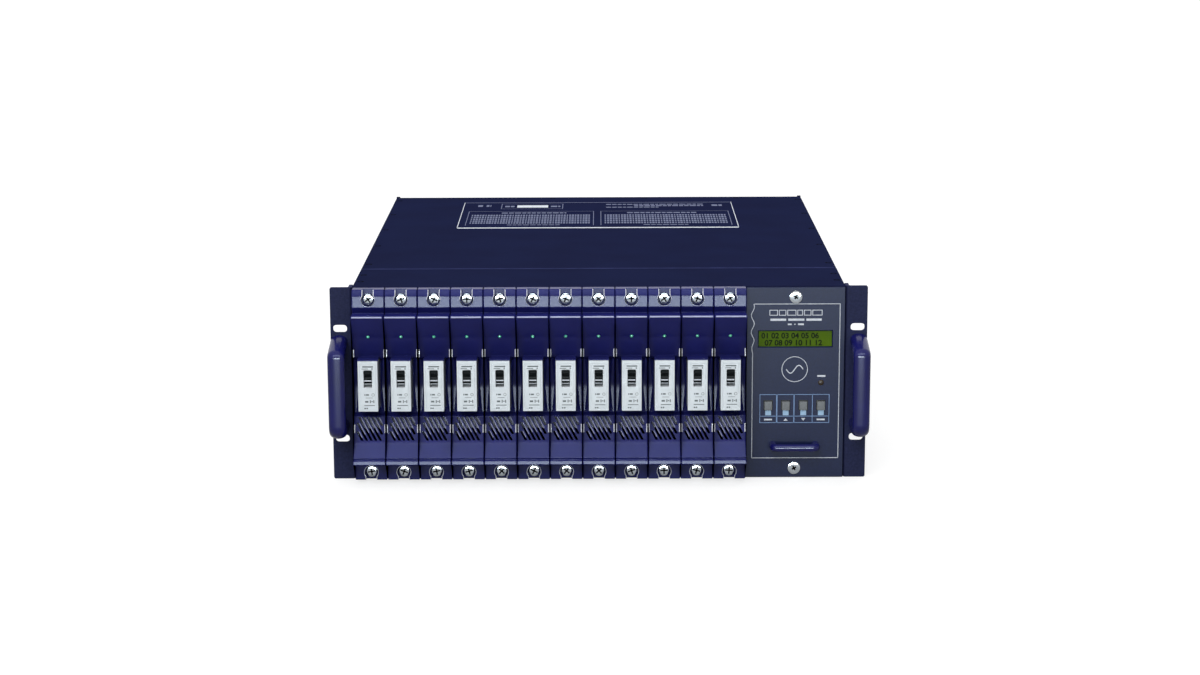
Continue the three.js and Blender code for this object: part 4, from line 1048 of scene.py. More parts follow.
class DIMMER_OT_fascias(Builder, bpy.types.Operator):
    """Makes the fascia of every dimmer module, its ridges, vent bars, screws and indicator"""

    bl_idname = "dimmer.fascias"
    bl_label = "Module fascias"

    def build(self, scene):
        sizes = scene.dimmer_fascia
        radius, pocket, slot, lamp = in_mm(
            sizes, "screw_radius", "pocket_radius", "pocket_slot", "lamp_radius",
        )
        edge, wall, louvre, pitch = in_mm(sizes, "edge", "wall", "louvre_width", "louvre_pitch")
        middle = BAY_WIDTH / 2
        lens = lathe([
            (0, -1.7), (lamp * 0.55, -1.45), (lamp * 0.88, -0.9), (lamp, 0), (lamp, 3), (0, 3),
        ], "y", (middle, -17.2, 135.4), 18)
        # The beads, ridges, ledge line and pocket rims are coloured pale: painted highlights of edges
        # that catch the light
        beads, ridges = self.beads(middle)
        # A pale tube along the ledge's front edge: a painted highlight line
        ledge = [(x, -27.3, 154.75) for x in (1.1, middle, BAY_WIDTH - 1.1)]
        bars = [
            slab((x - 0.7, x + 0.7), (-2.4, -0.7), (47.4, 61), 0.2)
            for x in np.arange(4, BAY_WIDTH - 3, 3.1)
        ]
        shield = joined(slab((2.4, BAY_WIDTH - 2.4), (-0.9, -0.5), (47.4, 61), 0.1), *bars)
        fascia = self.fascia(edge, wall, louvre, pitch, pocket, slot, lamp)
        angles = np.random.default_rng(7).uniform(0, math.pi / 2, (len(BAYS), 2))
        # Each pan head gets dark crossed bars in its cross: painted shade
        pan = radius, 2.0, 0.8
        heads, crosses = (
            [
                joined(
                    moved(turned(shape, "y", upper), middle, -6.6, 167.6),
                    moved(turned(shape, "y", lower), middle, -8.6, 9.4),
                )
                for upper, lower in angles
            ]
            for shape in (pan_screw(*pan), painted_shade_cross(*pan))
        )
        place_in_bays(
            ("fascia", fascia, "moulded_abs_fascia", "dimmer", "module"),
            ("edge_beads", beads, "rubbed_abs", "dimmer"),
            ("ledge_edge", tube(ledge, 0.85, 12), "dulled_abs", "dimmer"),
            ("slot_ridges", ridges, "dulled_abs", "dimmer"),
            ("vent_shield", shield, "pvc_sheet", "dimmer"),
            ("pocket_rims", self.rims(middle, pocket, slot), "rubbed_abs", "dimmer"),
            ("module_screws", heads, "zinc_plated_screw", "dimmer"),
            ("screw_recesses", crosses, "black_oxide_screw", "dimmer"),
            ("indicator", lens, "epoxy_lens_teal", "dimmer"),
        )

    def keyhole(self, x, z, radius, slot, toward, far):
        """A circle whose one side runs out into a straight slot."""
        half = slot / 2
        start = math.atan2(math.sqrt(radius ** 2 - half ** 2), half)
        curve = arc(0, 0, radius, math.pi - start, 2 * math.pi + start, 22)
        outline = np.concatenate([[(-half, far)], curve, [(half, far)]])
        return outline * (1, toward) + (x, z)

    def fascia(self, edge, wall, louvre, pitch, pocket, slot, lamp):
        """The side outline carried across, less its hollow, the breaker's window with its mitred
        cheeks, the two keyhole pockets, the indicator's hole and the slanted air slots. A bump on the
        ledge and a thin lip over the breaker stand on it."""
        width, middle = BAY_WIDTH, BAY_WIDTH / 2
        outline = soften(FASCIA_CORNERS[:, :2] * (-1, 1), FASCIA_CORNERS[:, 2], 3)
        shell = bar(outline, "x", 0, width, edge, 3)
        hollow = bar(offset(HOLLOW_CORNERS * (-1, 1), wall), "x", wall, width - wall)
        window = slab((middle - 9.15, middle + 9.15), (-40, 10), (69.2, 115.8), 0.4)
        cheeks = loft([
            upright(rectangle(x, width - x, z0, z1), -y)
            for x, z0, z1, y in (
                (0.9, 63.2, 114.6, 12), (1.5, 64.4, 113.4, 8.9), (5.0, 68.0, 116.2, 5.2),
            )
        ])
        upper = bar(self.keyhole(middle, 167.5, pocket, slot, 1, 16), "y", -40, -5.6)
        lower = bar(self.keyhole(middle, 9.5, pocket, slot, -1, 12), "y", -20, -7.4)
        eye = bar(disc(middle, 135.4, lamp + 0.15, 20), "y", -30, 0)
        slots = self.louvres(width, louvre, pitch)
        body = cut(shell, hollow, window, cheeks, upper, lower, eye, *slots)
        bump = slab((middle - 2.6, middle + 2.6), (-27.4, -23.5), (155.0, 155.95), 0.4, "z", 1.0)
        hood = slab((middle - 9.3, middle + 9.3), (-28.4, -10.5), (115.6, 116.5), 0.25)
        return joined(body, bump, hood)

    def louvre_lines(self, width, louvre, pitch):
        """The middle lines of the slanted slots: each runs left as it rises, and stops at the side
        margins. Gives the place across and the height of both ends."""
        low, high, margin, lean = 40.6, 61.4, 2.0 + louvre / 2, 0.545
        feet = np.arange(3.7, width + (high - low) * lean, pitch)
        near = np.maximum(feet - (high - low) * lean, margin)
        far = np.minimum(feet, width - margin)
        top, base = low + (feet - near) / lean, low + (feet - far) / lean
        return [ends for ends in zip(far, base, near, top) if ends[3] - ends[1] > 3]

    def louvres(self, width, louvre, pitch):
        """Slanted slots with rounded ends, each a parallelogram about its middle line."""
        half = louvre / 2
        slots = []
        for far, base, near, top in self.louvre_lines(width, louvre, pitch):
            outline = [(far - half, base), (far + half, base), (near + half, top), (near - half, top)]
            slots.append(bar(soften(outline, 1.0, 2), "y", -36, -4))
        return slots

    def beads(self, middle):
        """Thin ridges along the side edges, and those beside the air slots; their pale colours are
        painted highlights, the glints of rounded edges. The last lie on the slope of the front: forwards
        by 15 plus 7 times the share of the way from height 62 down to 39."""
        edges, ridges = [], []
        steps = 7
        for z0, z1, p0, p1 in ((115.9, 125.2, 14.4, 13.5), (47.6, 55.2, 20.1, 19.4)):
            z, depth = np.linspace(z0, z1, steps), np.linspace(p0, p1, steps)
            for x in (0.85, 2 * middle - 0.85):
                path = np.stack([np.full(steps, x), 0.6 - depth, z], 1)
                edges.append(tube(path, 0.55, 10, (1, 0, 0)))
        for far, base, near, top in self.louvre_lines(2 * middle, 2.6, 4.13):
            share = np.linspace(0.35, 0.97, steps)
            x, z = far + 1.45 + (near - far) * share, base + (top - base) * share
            depth = 15 + 7 * (62.01 - z) / 22.91
            ridges.append(tube(np.stack([x, 0.1 - depth, z], 1), 0.42, 6, (1, 0, 0)))
        return joined(*edges), joined(*ridges)

    def rims(self, middle, pocket, slot):
        """A thin raised bead round each pocket, which follows the slope of the fascia's front. Its pale
        colour is a painted highlight on the pocket's edge.
        """
        beads = []
        for z, toward, far in ((167.5, 1, 9.1), (9.5, -1, 6.6)):
            path = self.keyhole(middle, z, pocket + 0.2, slot + 0.4, toward, far)
            depth = np.interp(path[:, 1], [2.5, 16.5, 155.3, 171.4, 176.8], [14, 14, 10, 13, 10])
            beads.append(tube(np.stack([path[:, 0], 0.1 - depth, path[:, 1]], 1), 0.3, 8, (0, 1, 0)))
        return joined(*beads)


class DIMMER_OT_breakers(Builder, bpy.types.Operator):
    """Makes the circuit breakers, the marks on them and their toggles"""

    bl_idname = "dimmer.breakers"
    bl_label = "Circuit breakers"

    def build(self, scene):
        edge, width, height, thickness = in_mm(
            scene.dimmer_breaker, "edge", "window_width", "window_height", "lever",
        )
        low, high = node_box("breaker_01")
        left, right = low[0] - BAY_LEFT["01"], high[0] - BAY_LEFT["01"]
        face, rear, middle, centre = low[1], high[1], (left + right) / 2, 99.3
        window = slab(
            (middle - width / 2, middle + width / 2), (face - 3, face + 12.4),
            (centre - height / 2, centre + height / 2), 0.3,
        )
        groove = soften(rectangle(left + 1.9, right - 1.6, 72.2, 112.5), 0.8, 3)
        groove = tube(upright(groove, face - 0.02), 0.42, 6, (0, 1, 0), loop=True)
        nose = slab((left, right), (face, rear), (69.5, 115.5), edge)
        steps = [slab((left, right), (1.2, rear), span, edge) for span in ((52.5, 70.2), (114.8, 132.5))]
        lever, stripe = self.toggle(middle, face, centre, width - 0.6, thickness)
        place_in_bays(
            ("breaker_housing", joined(cut(nose, groove, window), *steps), "moulded_thermoset", "dimmer",
             "breaker"),
            ("breaker_marks", self.marks(middle, face), "grey_ink", "dimmer"),
            ("toggle_lever", lever, "moulded_polyamide", "toggle", "breaker_toggle"),
            ("toggle_stripe", stripe, "white_ink", "toggle"),
        )

    def marks(self, middle, face):
        """Bars in place of the printed words, a ring and a switch sign."""
        rows = [
            (-4.6, 109.9, 5.0, 111.1), (-5.3, 108.3, 0.4, 108.9), (3.6, 107.9, 4.5, 109.4),
            (-3.2, 84.2, -2.3, 85.6), (-1.8, 84.2, 0.9, 85.6), (-2.2, 81.9, 4.1, 82.3),
            (-2.8, 77.8, 0.2, 79.4), (1.5, 77.4, 2.4, 80.0), (2.8, 78.3, 4.2, 79.2),
            (4.6, 77.4, 5.5, 80.0), (-3.5, 74.8, 5.9, 75.5), (-3.5, 71.9, -2.2, 73.1),
            (-1.7, 71.9, -0.4, 73.1),
        ]
        bars = [(middle + u0, v0, middle + u1, v1) for u0, v0, u1, v1 in rows]
        circle = upright(disc(middle + 4.5, 84.9, 1.2, 16), face - 0.02)
        ring = tube(circle, 0.16, 4, (0, 1, 0), loop=True, flat=0.6)
        return joined(prints(bars, "y", face, -0.05), ring)

    def toggle(self, middle, face, centre, width, thickness):
        """A round hub that fills the window and a ribbed lever that stands up and out of it."""
        pivot, half, radius = face + 6.4, width / 2, 5.2
        hub = bar(disc(pivot, centre, radius, 36), "x", middle - half, middle + half, 0.2, 2)
        span = thickness / 2
        lever = slab((middle - half, middle + half), (-11.6, 0), (-span, span), 0.7)
        ribs = [
            slab((middle - half + 0.5, middle + half - 0.5), (-y - 0.5, -y), (-span - 0.35, 0), 0.15)
            for y in (6.4, 7.9, 9.4)
        ]
        lever = turned(joined(lever, *ribs), "x", -math.radians(38))
        stripe = prints([
            (middle - half + 0.2, centre + low, middle + half - 0.2, centre + high)
            for low, high in ((-2.4, -1.3), (-5.0, -4.7))
        ], "y", pivot - math.sqrt(radius ** 2 - 1.8 ** 2), -0.3)
        return joined(hub, moved(lever, 0, pivot, centre)), stripe


class DIMMER_OT_module_insides(Builder, bpy.types.Operator):
    """Makes what is behind each fascia: tray, heat sink, power device, choke, wiring and rear plug"""

    bl_idname = "dimmer.module_insides"
    bl_label = "Module insides"

    def build(self, scene):
        tray = joined(
            slab((1.2, 2.4), (-2, 300), (16.7, 156.7), 0.25, "x", 1.5),
            slab((1.2, 27.7), (-2, 300), (16.7, 17.9), 0.25, "z", 1.5),
            slab((1.2, 10.8), (-2, 300), (155.5, 156.7), 0.25, "z", 1.5),
        )
        sink = bar(self.comb(2.0, 23.0, 44, 144, 11), "y", 62, 184, 0.2, 1)
        device = joined(
            slab((6.0, 10.4), (96, 112), (88, 108), 0.4), slab((6.0, 7.6), (99, 109), (107, 114), 0.3),
        )
        core, winding = self.choke()
        plug = joined(
            slab((2.0, 23.4), (268, 300), (48, 128), 0.6),
            *[slab((23.0, 24.2), (272, 297), (z, z + 4), 0.3, "x") for z in np.arange(52, 124, 8)],
            slab((2.0, 23.3), (45.6, 52.6), (75.0, 110.0), 0.5),
        )
        wires = (
            ("brown", [
                (14, 52, 90), (16, 58, 72), (19, 60, 34), (19, 120, 24), (16, 186, 26), (14, 206, 40),
            ]),
            ("blue", [(12, 235, 70), (14, 248, 80), (16, 258, 92), (16, 270, 100)]),
            ("green", [(8, 110, 104), (20, 130, 112), (25, 190, 118), (22, 240, 120), (18, 270, 118)]),
        )
        place_in_bays(
            ("module_tray", tray, "zinc_plated_sheet", "dimmer"),
            ("heat_sink", sink, "extruded_aluminium", "dimmer"),
            ("power_device", device, "moulded_pbt", "dimmer"),
            ("choke_core", core, "ferrite", "dimmer"),
            ("choke_winding", winding, "enamelled_copper", "dimmer"),
            ("module_plug", plug, "moulded_pbt", "dimmer"),
            *[
                (f"wire_{name}", tube(self.smooth(points), 1.5, 8), f"pvc_wire_{name}", "dimmer")
                for name, points in wires
            ],
        )

    def comb(self, x0, x1, z0, z1, fins):
        """The section of the heat sink: a back with evenly spaced fins."""
        pitch, sheet, back = (z1 - z0 - 2.2) / (fins - 1), 2.2, x0 + 4
        points = [(x0, z1), (x0, z0)]
        for fin in range(fins):
            z = z0 + fin * pitch
            points += [(x1, z), (x1, z + sheet)]
            if fin < fins - 1:
                points += [(back, z + sheet), (back, z + pitch)]
        return np.array(points)

    def choke(self):
        """A ring core with wire wound round it. Along the winding the angle about the ring's axis
        grows evenly while the wire goes round the ring's section, a rounded rectangle."""
        centre = (11.2, 214, 64)
        profile = soften(rectangle(11, 22, -7.6, 7.6), 2.0, 3)
        core = lathe(np.concatenate([profile, profile[:1]]), "x", centre, 36)
        turns, steps = 24, 12
        t = np.linspace(0, 1, turns * steps + 1)
        around = t * 1.86 * np.pi + 0.07 * np.pi
        section = t * turns * 2 * np.pi
        u, v = np.cos(section), np.sin(section)
        square = 1 / np.maximum(np.abs(u), np.abs(v)) ** 0.7
        radius = 16.5 + 6.3 * u * square
        path = np.stack([8.4 * v * square, radius * np.cos(around), radius * np.sin(around)], 1) + centre
        return core, tube(path, 0.95, 6, up=(0.31, 0.57, 0.76))

    def smooth(self, points):
        """A wire's path: its points with their corners rounded off, each in six steps."""
        points = np.asarray(points, float)
        middle = (points[:-1] + points[1:]) / 2
        t = np.linspace(0, 1, 6, endpoint=False)[:, None]
        curves = [
            (1 - t) ** 2 * middle[at] + 2 * t * (1 - t) * points[at + 1] + t ** 2 * middle[at + 1]
            for at in range(len(middle) - 1)
        ]
        return np.concatenate([points[:1], *curves, points[-1:]])


class DIMMER_OT_control_front(Builder, bpy.types.Operator):
    """Makes the control panel with its print, display, keys, status lamp, screws and pull"""

    bl_idname = "dimmer.control_front"
    bl_label = "Control panel"

    def build(self, scene):
        (x0, face, z0), (x1, back, z1) = PANEL_LOW, PANEL_HIGH
        m, body = PANEL_MIDDLE, "control_unit"
        through = face - 3, back + 3
        keys = [f"key_{index}" for index in range(1, 5)]
        spots = [node_middle(key) for key in keys]
        holes = [slab((x - 4.4, x + 4.1), through, (z - 4.5, z + 5.1), 0, "y", 0.3) for x, z in spots]
        glass = slab((m - 33, m + 33), through, (121.6, 136.2), 0, "y", 0.3)
        flare = loft([
            upright(rectangle(m - 33 - d, m + 33 + d, 121.6 - d, 136.2 + d), y)
            for d, y in ((0, face + 0.8), (1.0, face - 0.2))
        ])
        lamp_x, lamp_z = m + 23.6, 88.6
        lamp = bar(disc(lamp_x, lamp_z, 2.75, 28), "y", *through)
        plate = slab((x0, x1), (face, back), (z0, z1), 0.35, "y", 0.6)
        plate = cut(plate, glass, flare, lamp, *holes)
        place("control_plate", plate, "powder_coat_panel", body, ["control_panel"])
        # Dark crossed bars in the screws' crosses: painted shade
        pan = 6.0, 1.9, 0.42
        for name, shape, surface in (
            ("control_screws", pan_screw(*pan), "zinc_plated_screw"),
            ("control_painted_shade_crosses", painted_shade_cross(*pan), "black_oxide_screw"),
        ):
            pair = [
                moved(turned(shape, "y", turn), m, face, z) for z, turn in ((167.5, 0.5), (9.5, 1.1))
            ]
            place(name, joined(*pair), surface, body)
        self.print_panel(m, face, body, [x for x, _ in spots])
        self.display(m, face, body)
        lens = lathe([
            (0, -0.5), (1.6, -0.4), (2.35, 0.0), (2.6, 0.6), (2.6, 6), (0, 6),
        ], "y", (lamp_x, face, lamp_z), 24)
        place("status_lamp", lens, "epoxy_lens_brown", body)
        for index, (key, (x, z)) in enumerate(zip(keys, spots), 1):
            low, high = node_box(key)
            cap = slab(
                (low[0] + 0.8, high[0] - 0.8), (low[1], high[1]), (low[2] + 0.8, high[2] - 0.8), 0.4,
            )
            dish = lathe([
                (0, -0.32), (2.4, -0.14), (3.1, 0.12), (3.1, -3), (0, -3),
            ], "y", (x, low[1], z), 20)
            # The flange is dark so that the gap round the cap shows painted shade
            flange = slab((low[0], high[0]), (0, 1.2), (low[2], high[2]), 0.3)
            rider = f"push_key_{index}"
            place(f"key_cap_{index}", cut(cap, dish), "silicone_key", rider, [key])
            place(f"key_shade_flange_{index}", flange, "nitrile_rubber_and_painted_shade", rider)
        self.pull(scene, body)

    def print_panel(self, m, face, body, columns):
        """The white frame, whose left line waves in its upper part, and the grid round the keys."""
        z = np.linspace(160.4, 112, 50)
        wave = 1.3 * np.sin((z - 108) / 15.5 * 2 * np.pi) * np.clip((z - 112) / 16, 0, 1)
        left = np.concatenate([
            [(m - 36.2, 161.0), (m - 37.6, 160.9)], np.stack([m - 38.4 + wave, z], 1),
            [(m - 38.4, 60), (m - 38.4, 18.6)],
        ])
        depths = face - 0.05, face + 0.1
        lines = prints([
            (m + 39.5, 18.6, m + 40.1, 161), (m - 38.6, 18.4, m + 40.1, 19.0),
            (m - 36.4, 160.7, m + 40.1, 161.3),
        ], "y", face, -0.05)
        place("panel_lines", joined(bar(ribbon(left, 0.6), "y", *depths), lines), "white_ink", body)
        low, high = 51.3, 77.9
        grid = framed(m - 31.6, low, m + 31.4, high, 0.55)
        for x, half in ((m - 16.05, 0.55), (m - 0.5, 0.45), (m + 16.05, 0.28)):
            grid.append((x - half, low, x + half, high))
        grid.append((m - 31.6, 57.3, m + 31.4, 57.85))
        place("panel_grid", prints(grid, "y", face, -0.05), "blue_ink", body)
        self.emblem(m - 0.3, 101.0, face, body)
        signs = []
        for x0, x1 in ((-23.5, -16), (-15, -8.5), (-7.5, 0.5), (1.5, 6.5), (7.5, 14), (15, 24)):
            signs += framed(m + x0, 150.4, m + x1, 155.6, 0.6)
        for x0, low, x1, high in (
            (-22.6, 145.6, -8.5, 147.6), (-6.6, 145.6, 7.8, 147.6), (9.6, 145.6, 23.4, 147.6),
            (-7, 141.6, -3.5, 143.1), (-1.2, 141.9, 0, 142.9), (2.2, 141.6, 7.4, 143.1),
            (20.2, 93.9, 27.4, 95.5),
        ):
            signs.append((m + x0, low, m + x1, high))
        signs += [(x - 3.6, 53.7, x + 3.6, 55.2) for x in (columns[0], columns[3])]
        shapes = [prints(signs, "y", face, -0.05)]
        middle = 54.5
        for x, rise in ((columns[1], 1.2), (columns[2], -1.2)):
            triangle = [(x - 1.9, middle - rise), (x + 1.9, middle - rise), (x, middle + rise)]
            shapes.append(bar(triangle, "y", *depths))
        place("panel_signs", joined(*shapes), "white_ink", body)
        pads = [(x - 2.65, 58.4, x + 2.65, 63.3) for x in columns]
        place("panel_key_pads", prints(pads, "y", face, -0.04), "pale_blue_ink", body)

    def emblem(self, x, z, face, body):
        """A plain sign for alternating current: one full sine wave inside a ring."""
        ring = tube(upright(disc(x, z, 11.5, 72), face), 0.3, 6, (0, 1, 0), loop=True, flat=0.5)
        across = np.linspace(-1, 1, 41)
        wave = np.stack([x + 7.6 * across, z + 3.6 * np.sin(across * np.pi)], 1)
        wave = bar(ribbon(wave, 0.9), "y", face - 0.05, face + 0.1)
        place("panel_sign", joined(ring, wave), "white_ink", body)

    def display(self, m, face, body):
        """The cell behind its window, and two rows of figures in it."""
        low, high = node_box("lcd_display")
        module = joined(
            slab((low[0], high[0]), (0, high[1]), (low[2], high[2]), 0.4),
            slab((m - 32.9, m + 32.9), (face + 1.5, 1.0), (121.7, 136.1), 0.2),
        )
        place("display_cell", module, "liquid_crystal", body, ["lcd_display"])
        figures = [
            moved(letters(text, 7.0), m + x, face + 1.46, z)
            for text, x, z in (("01 02 03 04 05 06", -30.5, 129.3), ("07 08 09 10 11 12", -27.5, 122.8))
        ]
        place("display_figures", joined(*figures), "dark_segment", body)

    def pull(self, scene, body):
        """The pull's path, a flat bow in the X-Y plane, swept with a nearly round section."""
        (edge,) = in_mm(scene.dimmer_case, "pull_edge")
        (left, tip, foot), (right, _, top) = node_box("control_handle")
        thick, root = 6.6, 6
        outline = soften([
            (left, root), (left, tip), (right, tip), (right, root), (right - thick, root),
            (right - thick, tip + thick), (left + thick, tip + thick), (left + thick, root),
        ], [0, 8, 8, 0, 0, 3, 3, 0], 6)
        shape = bar(outline, "z", foot, top, edge, 4)
        hidden = slab((left - 5, right + 5), (PANEL_LOW[1], 20), (foot - 5, top + 5), 0)
        place("control_pull", cut(shape, hidden), "moulded_nylon_handle", body, ["control_handle"])


class DIMMER_OT_control_inside(Builder, bpy.types.Operator):
    """Makes the tray behind the control panel, with its board, parts and transformer"""

    bl_idname = "dimmer.control_inside"
    bl_label = "Control inside"

    def build(self, scene):
        body, m = "control_unit", PANEL_MIDDLE
        (left, _, foot), (right, rear, top) = node_box("control_tray")
        tray = joined(
            slab((left, left + 1.2), (0, rear), (foot, top), 0.25, "x", 1.5),
            slab((left, right), (0, rear), (foot, foot + 1.2), 0.25, "z", 1.5),
            slab((left, left + 9.6), (0, rear), (top - 1.2, top), 0.25, "z", 1.5),
        )
        place("control_tray_sheet", tray, "zinc_plated_sheet", body, ["control_tray"])
        board = slab((left + 1, right), (7, 8.6), (foot + 1, top), 0.2)
        place("control_board", board, "solder_mask", body)
        chips = [(-28, 60, 18, 7), (4, 60, 18, 7), (-28, 92, 26, 9), (12, 88, 14, 14), (-20, 118, 12, 6)]
        parts = [slab((m + x, m + x + w), (8.5, 11.4), (z, z + h), 0.3) for x, z, w, h in chips]
        parts.append(slab((left, left + 18), (268, 300), (48, 128), 0.6))
        place("control_parts", joined(*parts), "moulded_pbt", body)
        can = [(0, 8.4), (4, 8.4), (4.4, 9), (4.4, 22), (4, 22.6), (0, 22.6)]
        places = [(m + x, 0, z) for x, z in ((26, 112), (26, 126), (-32, 40))]
        cans = repeated(lathe(can, "y", (0, 0, 0), 20), places)
        place("control_cans", cans, "extruded_aluminium", body)
        core = [
            slab((m + x0, m + x1), (150, 200), (foot + z0, foot + z1), 0.4)
            for x0, x1, z0, z1 in (
                (-29, 29, 1.2, 12), (-29, 29, 41.5, 52), (-29, -19, 10, 44), (19, 29, 10, 44),
            )
        ]
        place("transformer_core", joined(*core), "laminated_steel", body)
        coil = slab((m - 19, m + 19), (143, 207), (foot + 12, foot + 41.5), 3.0)
        place("transformer_coil", coil, "polyester_tape", body)


class DIMMER_OT_backplane(Builder, bpy.types.Operator):
    """Makes the backplane with its sockets and busbars"""

    bl_idname = "dimmer.backplane"
    bl_label = "Backplane"

    def build(self, scene):
        low, high = node_box("backplane")
        board = slab((low[0], high[0]), (306.3, 308.3), (low[2], high[2]), 0.2)
        place("backplane_board", board, "solder_mask", "chassis", ["backplane"])
        centres = [BAY_LEFT[bay] + BAY_WIDTH / 2 for bay in BAYS]
        centres.append(node_box("control_tray")[0][0] + 9)
        block = slab((-9, 9), (300.4, 306.5), (48, 128), 0.5)
        mouths = [slab((-4, 4), (298, 304), (z, z + 5), 0) for z in np.arange(54, 122, 11.0)]
        sockets = repeated(cut(block, joined(*mouths)), [(x,) for x in centres])
        place("backplane_sockets", sockets, "moulded_pbt", "chassis")
        bars = [slab((-212, 126), (308.3, 311.3), (z, z + 12), 0.5, "x") for z in (60, 82, 104)]
        place("busbars", joined(*bars), "brass_contact", "chassis")


class DIMMER_OT_fan(Builder, bpy.types.Operator):
    """Makes the fan: its frame, struts and motor cup, and the turning impeller"""

    bl_idname = "dimmer.fan"
    bl_label = "Fan"

    def build(self, scene):
        low, high = node_box("fan_frame")
        x, z = node_middle("fan_frame")
        front, rear = low[1], high[1]
        frame_block = slab((low[0], high[0]), (front, rear), (low[2], high[2]), 0.5, "y", 5)
        waist = [
            bar(soften(rectangle(u0, u1, front + 4, rear - 4), 1), "z", low[2] + 18, high[2] - 18)
            for u0, u1 in ((low[0] - 3, low[0] + 1.2), (high[0] - 1.2, high[0] + 3))
        ]
        bores = [
            bar(disc(x + u * FAN_REACH, z + v * FAN_REACH, 2.2, 16), "y", front - 2, rear + 2)
            for u, v in CORNERS
        ]
        throat = lathe([
            (0, front - 3), (59.4, front - 3), (57.6, front + 1.5), (57.5, front + 3),
            (57.5, rear - 3), (57.6, rear - 1.5), (59.0, rear + 3), (0, rear + 3),
        ], "y", (x, 0, z), 72)
        frame_block = cut(frame_block, throat, *bores, *waist)
        strut = slab((19, 58.2), (rear - 4, rear - 0.4), (-2.6, 2.6), 0.5, "x")
        struts = [turned(strut, "y", 0.35 + quarter * math.pi / 2) for quarter in range(4)]
        cup = lathe([
            (0, rear - 4), (19.5, rear - 4), (19.5, rear - 0.5), (19, rear), (0, rear),
        ], "y", (0, 0, 0), 48)
        motor = moved(joined(*struts, cup), x, 0, z)
        place("fan_housing", joined(frame_block, motor), "glass_filled_nylon", "chassis", ["fan_frame"])
        plain = drum(15, rear - 0.1, rear + 0.05, (x, 0, z), 40)
        place("fan_motor_disc", plain, "zinc_plated_sheet", "chassis")
        place("fan_impeller", self.impeller(x, z, front + 1.5, rear - 4.3), "glass_filled_nylon",
              "impeller", ["fan_rotor"])

    def impeller(self, x, z, front, rear):
        """Seven blades: at each radius a blade's chord is turned by an angle that falls from 46 to 32
        degrees outwards, swept forwards as it goes out and curved by a parabola across its chord."""
        hub = lathe([
            (0, front), (17.5, front), (19.2, front + 1.0), (19.5, front + 2.5), (19.5, rear - 0.3),
            (19.2, rear), (0, rear),
        ], "y", (x, 0, z), 48)
        out = np.linspace(0, 1, 9)[:, None]
        chord = np.linspace(-1, 1, 9)[None, :]
        radius = 18.5 + 35.5 * out
        pitch = np.radians(46 - 14 * out)
        along = chord * (10.5 + 1.0 * out)
        rise = along * np.sin(pitch) + 1.6 * (1 - chord ** 2)
        swing = along * np.cos(pitch) / radius + 0.22 * out ** 1.5
        half = (0.35 + 0.5 * (1 - chord ** 2)) * np.ones_like(radius)
        middle = (front + rear) / 2
        across, up = radius * np.cos(swing), radius * np.sin(swing)
        upper, lower = (
            np.stack([across, np.clip(middle + rise + sheet, front + 0.3, rear - 0.3), up], -1)
            for sheet in (half, -half)
        )
        blade = loft(np.concatenate([upper, lower[:, ::-1]], 1))
        blades = [moved(turned(blade, "y", step * 2 * math.pi / 7), x, 0, z) for step in range(7)]
        return joined(hub, *blades)


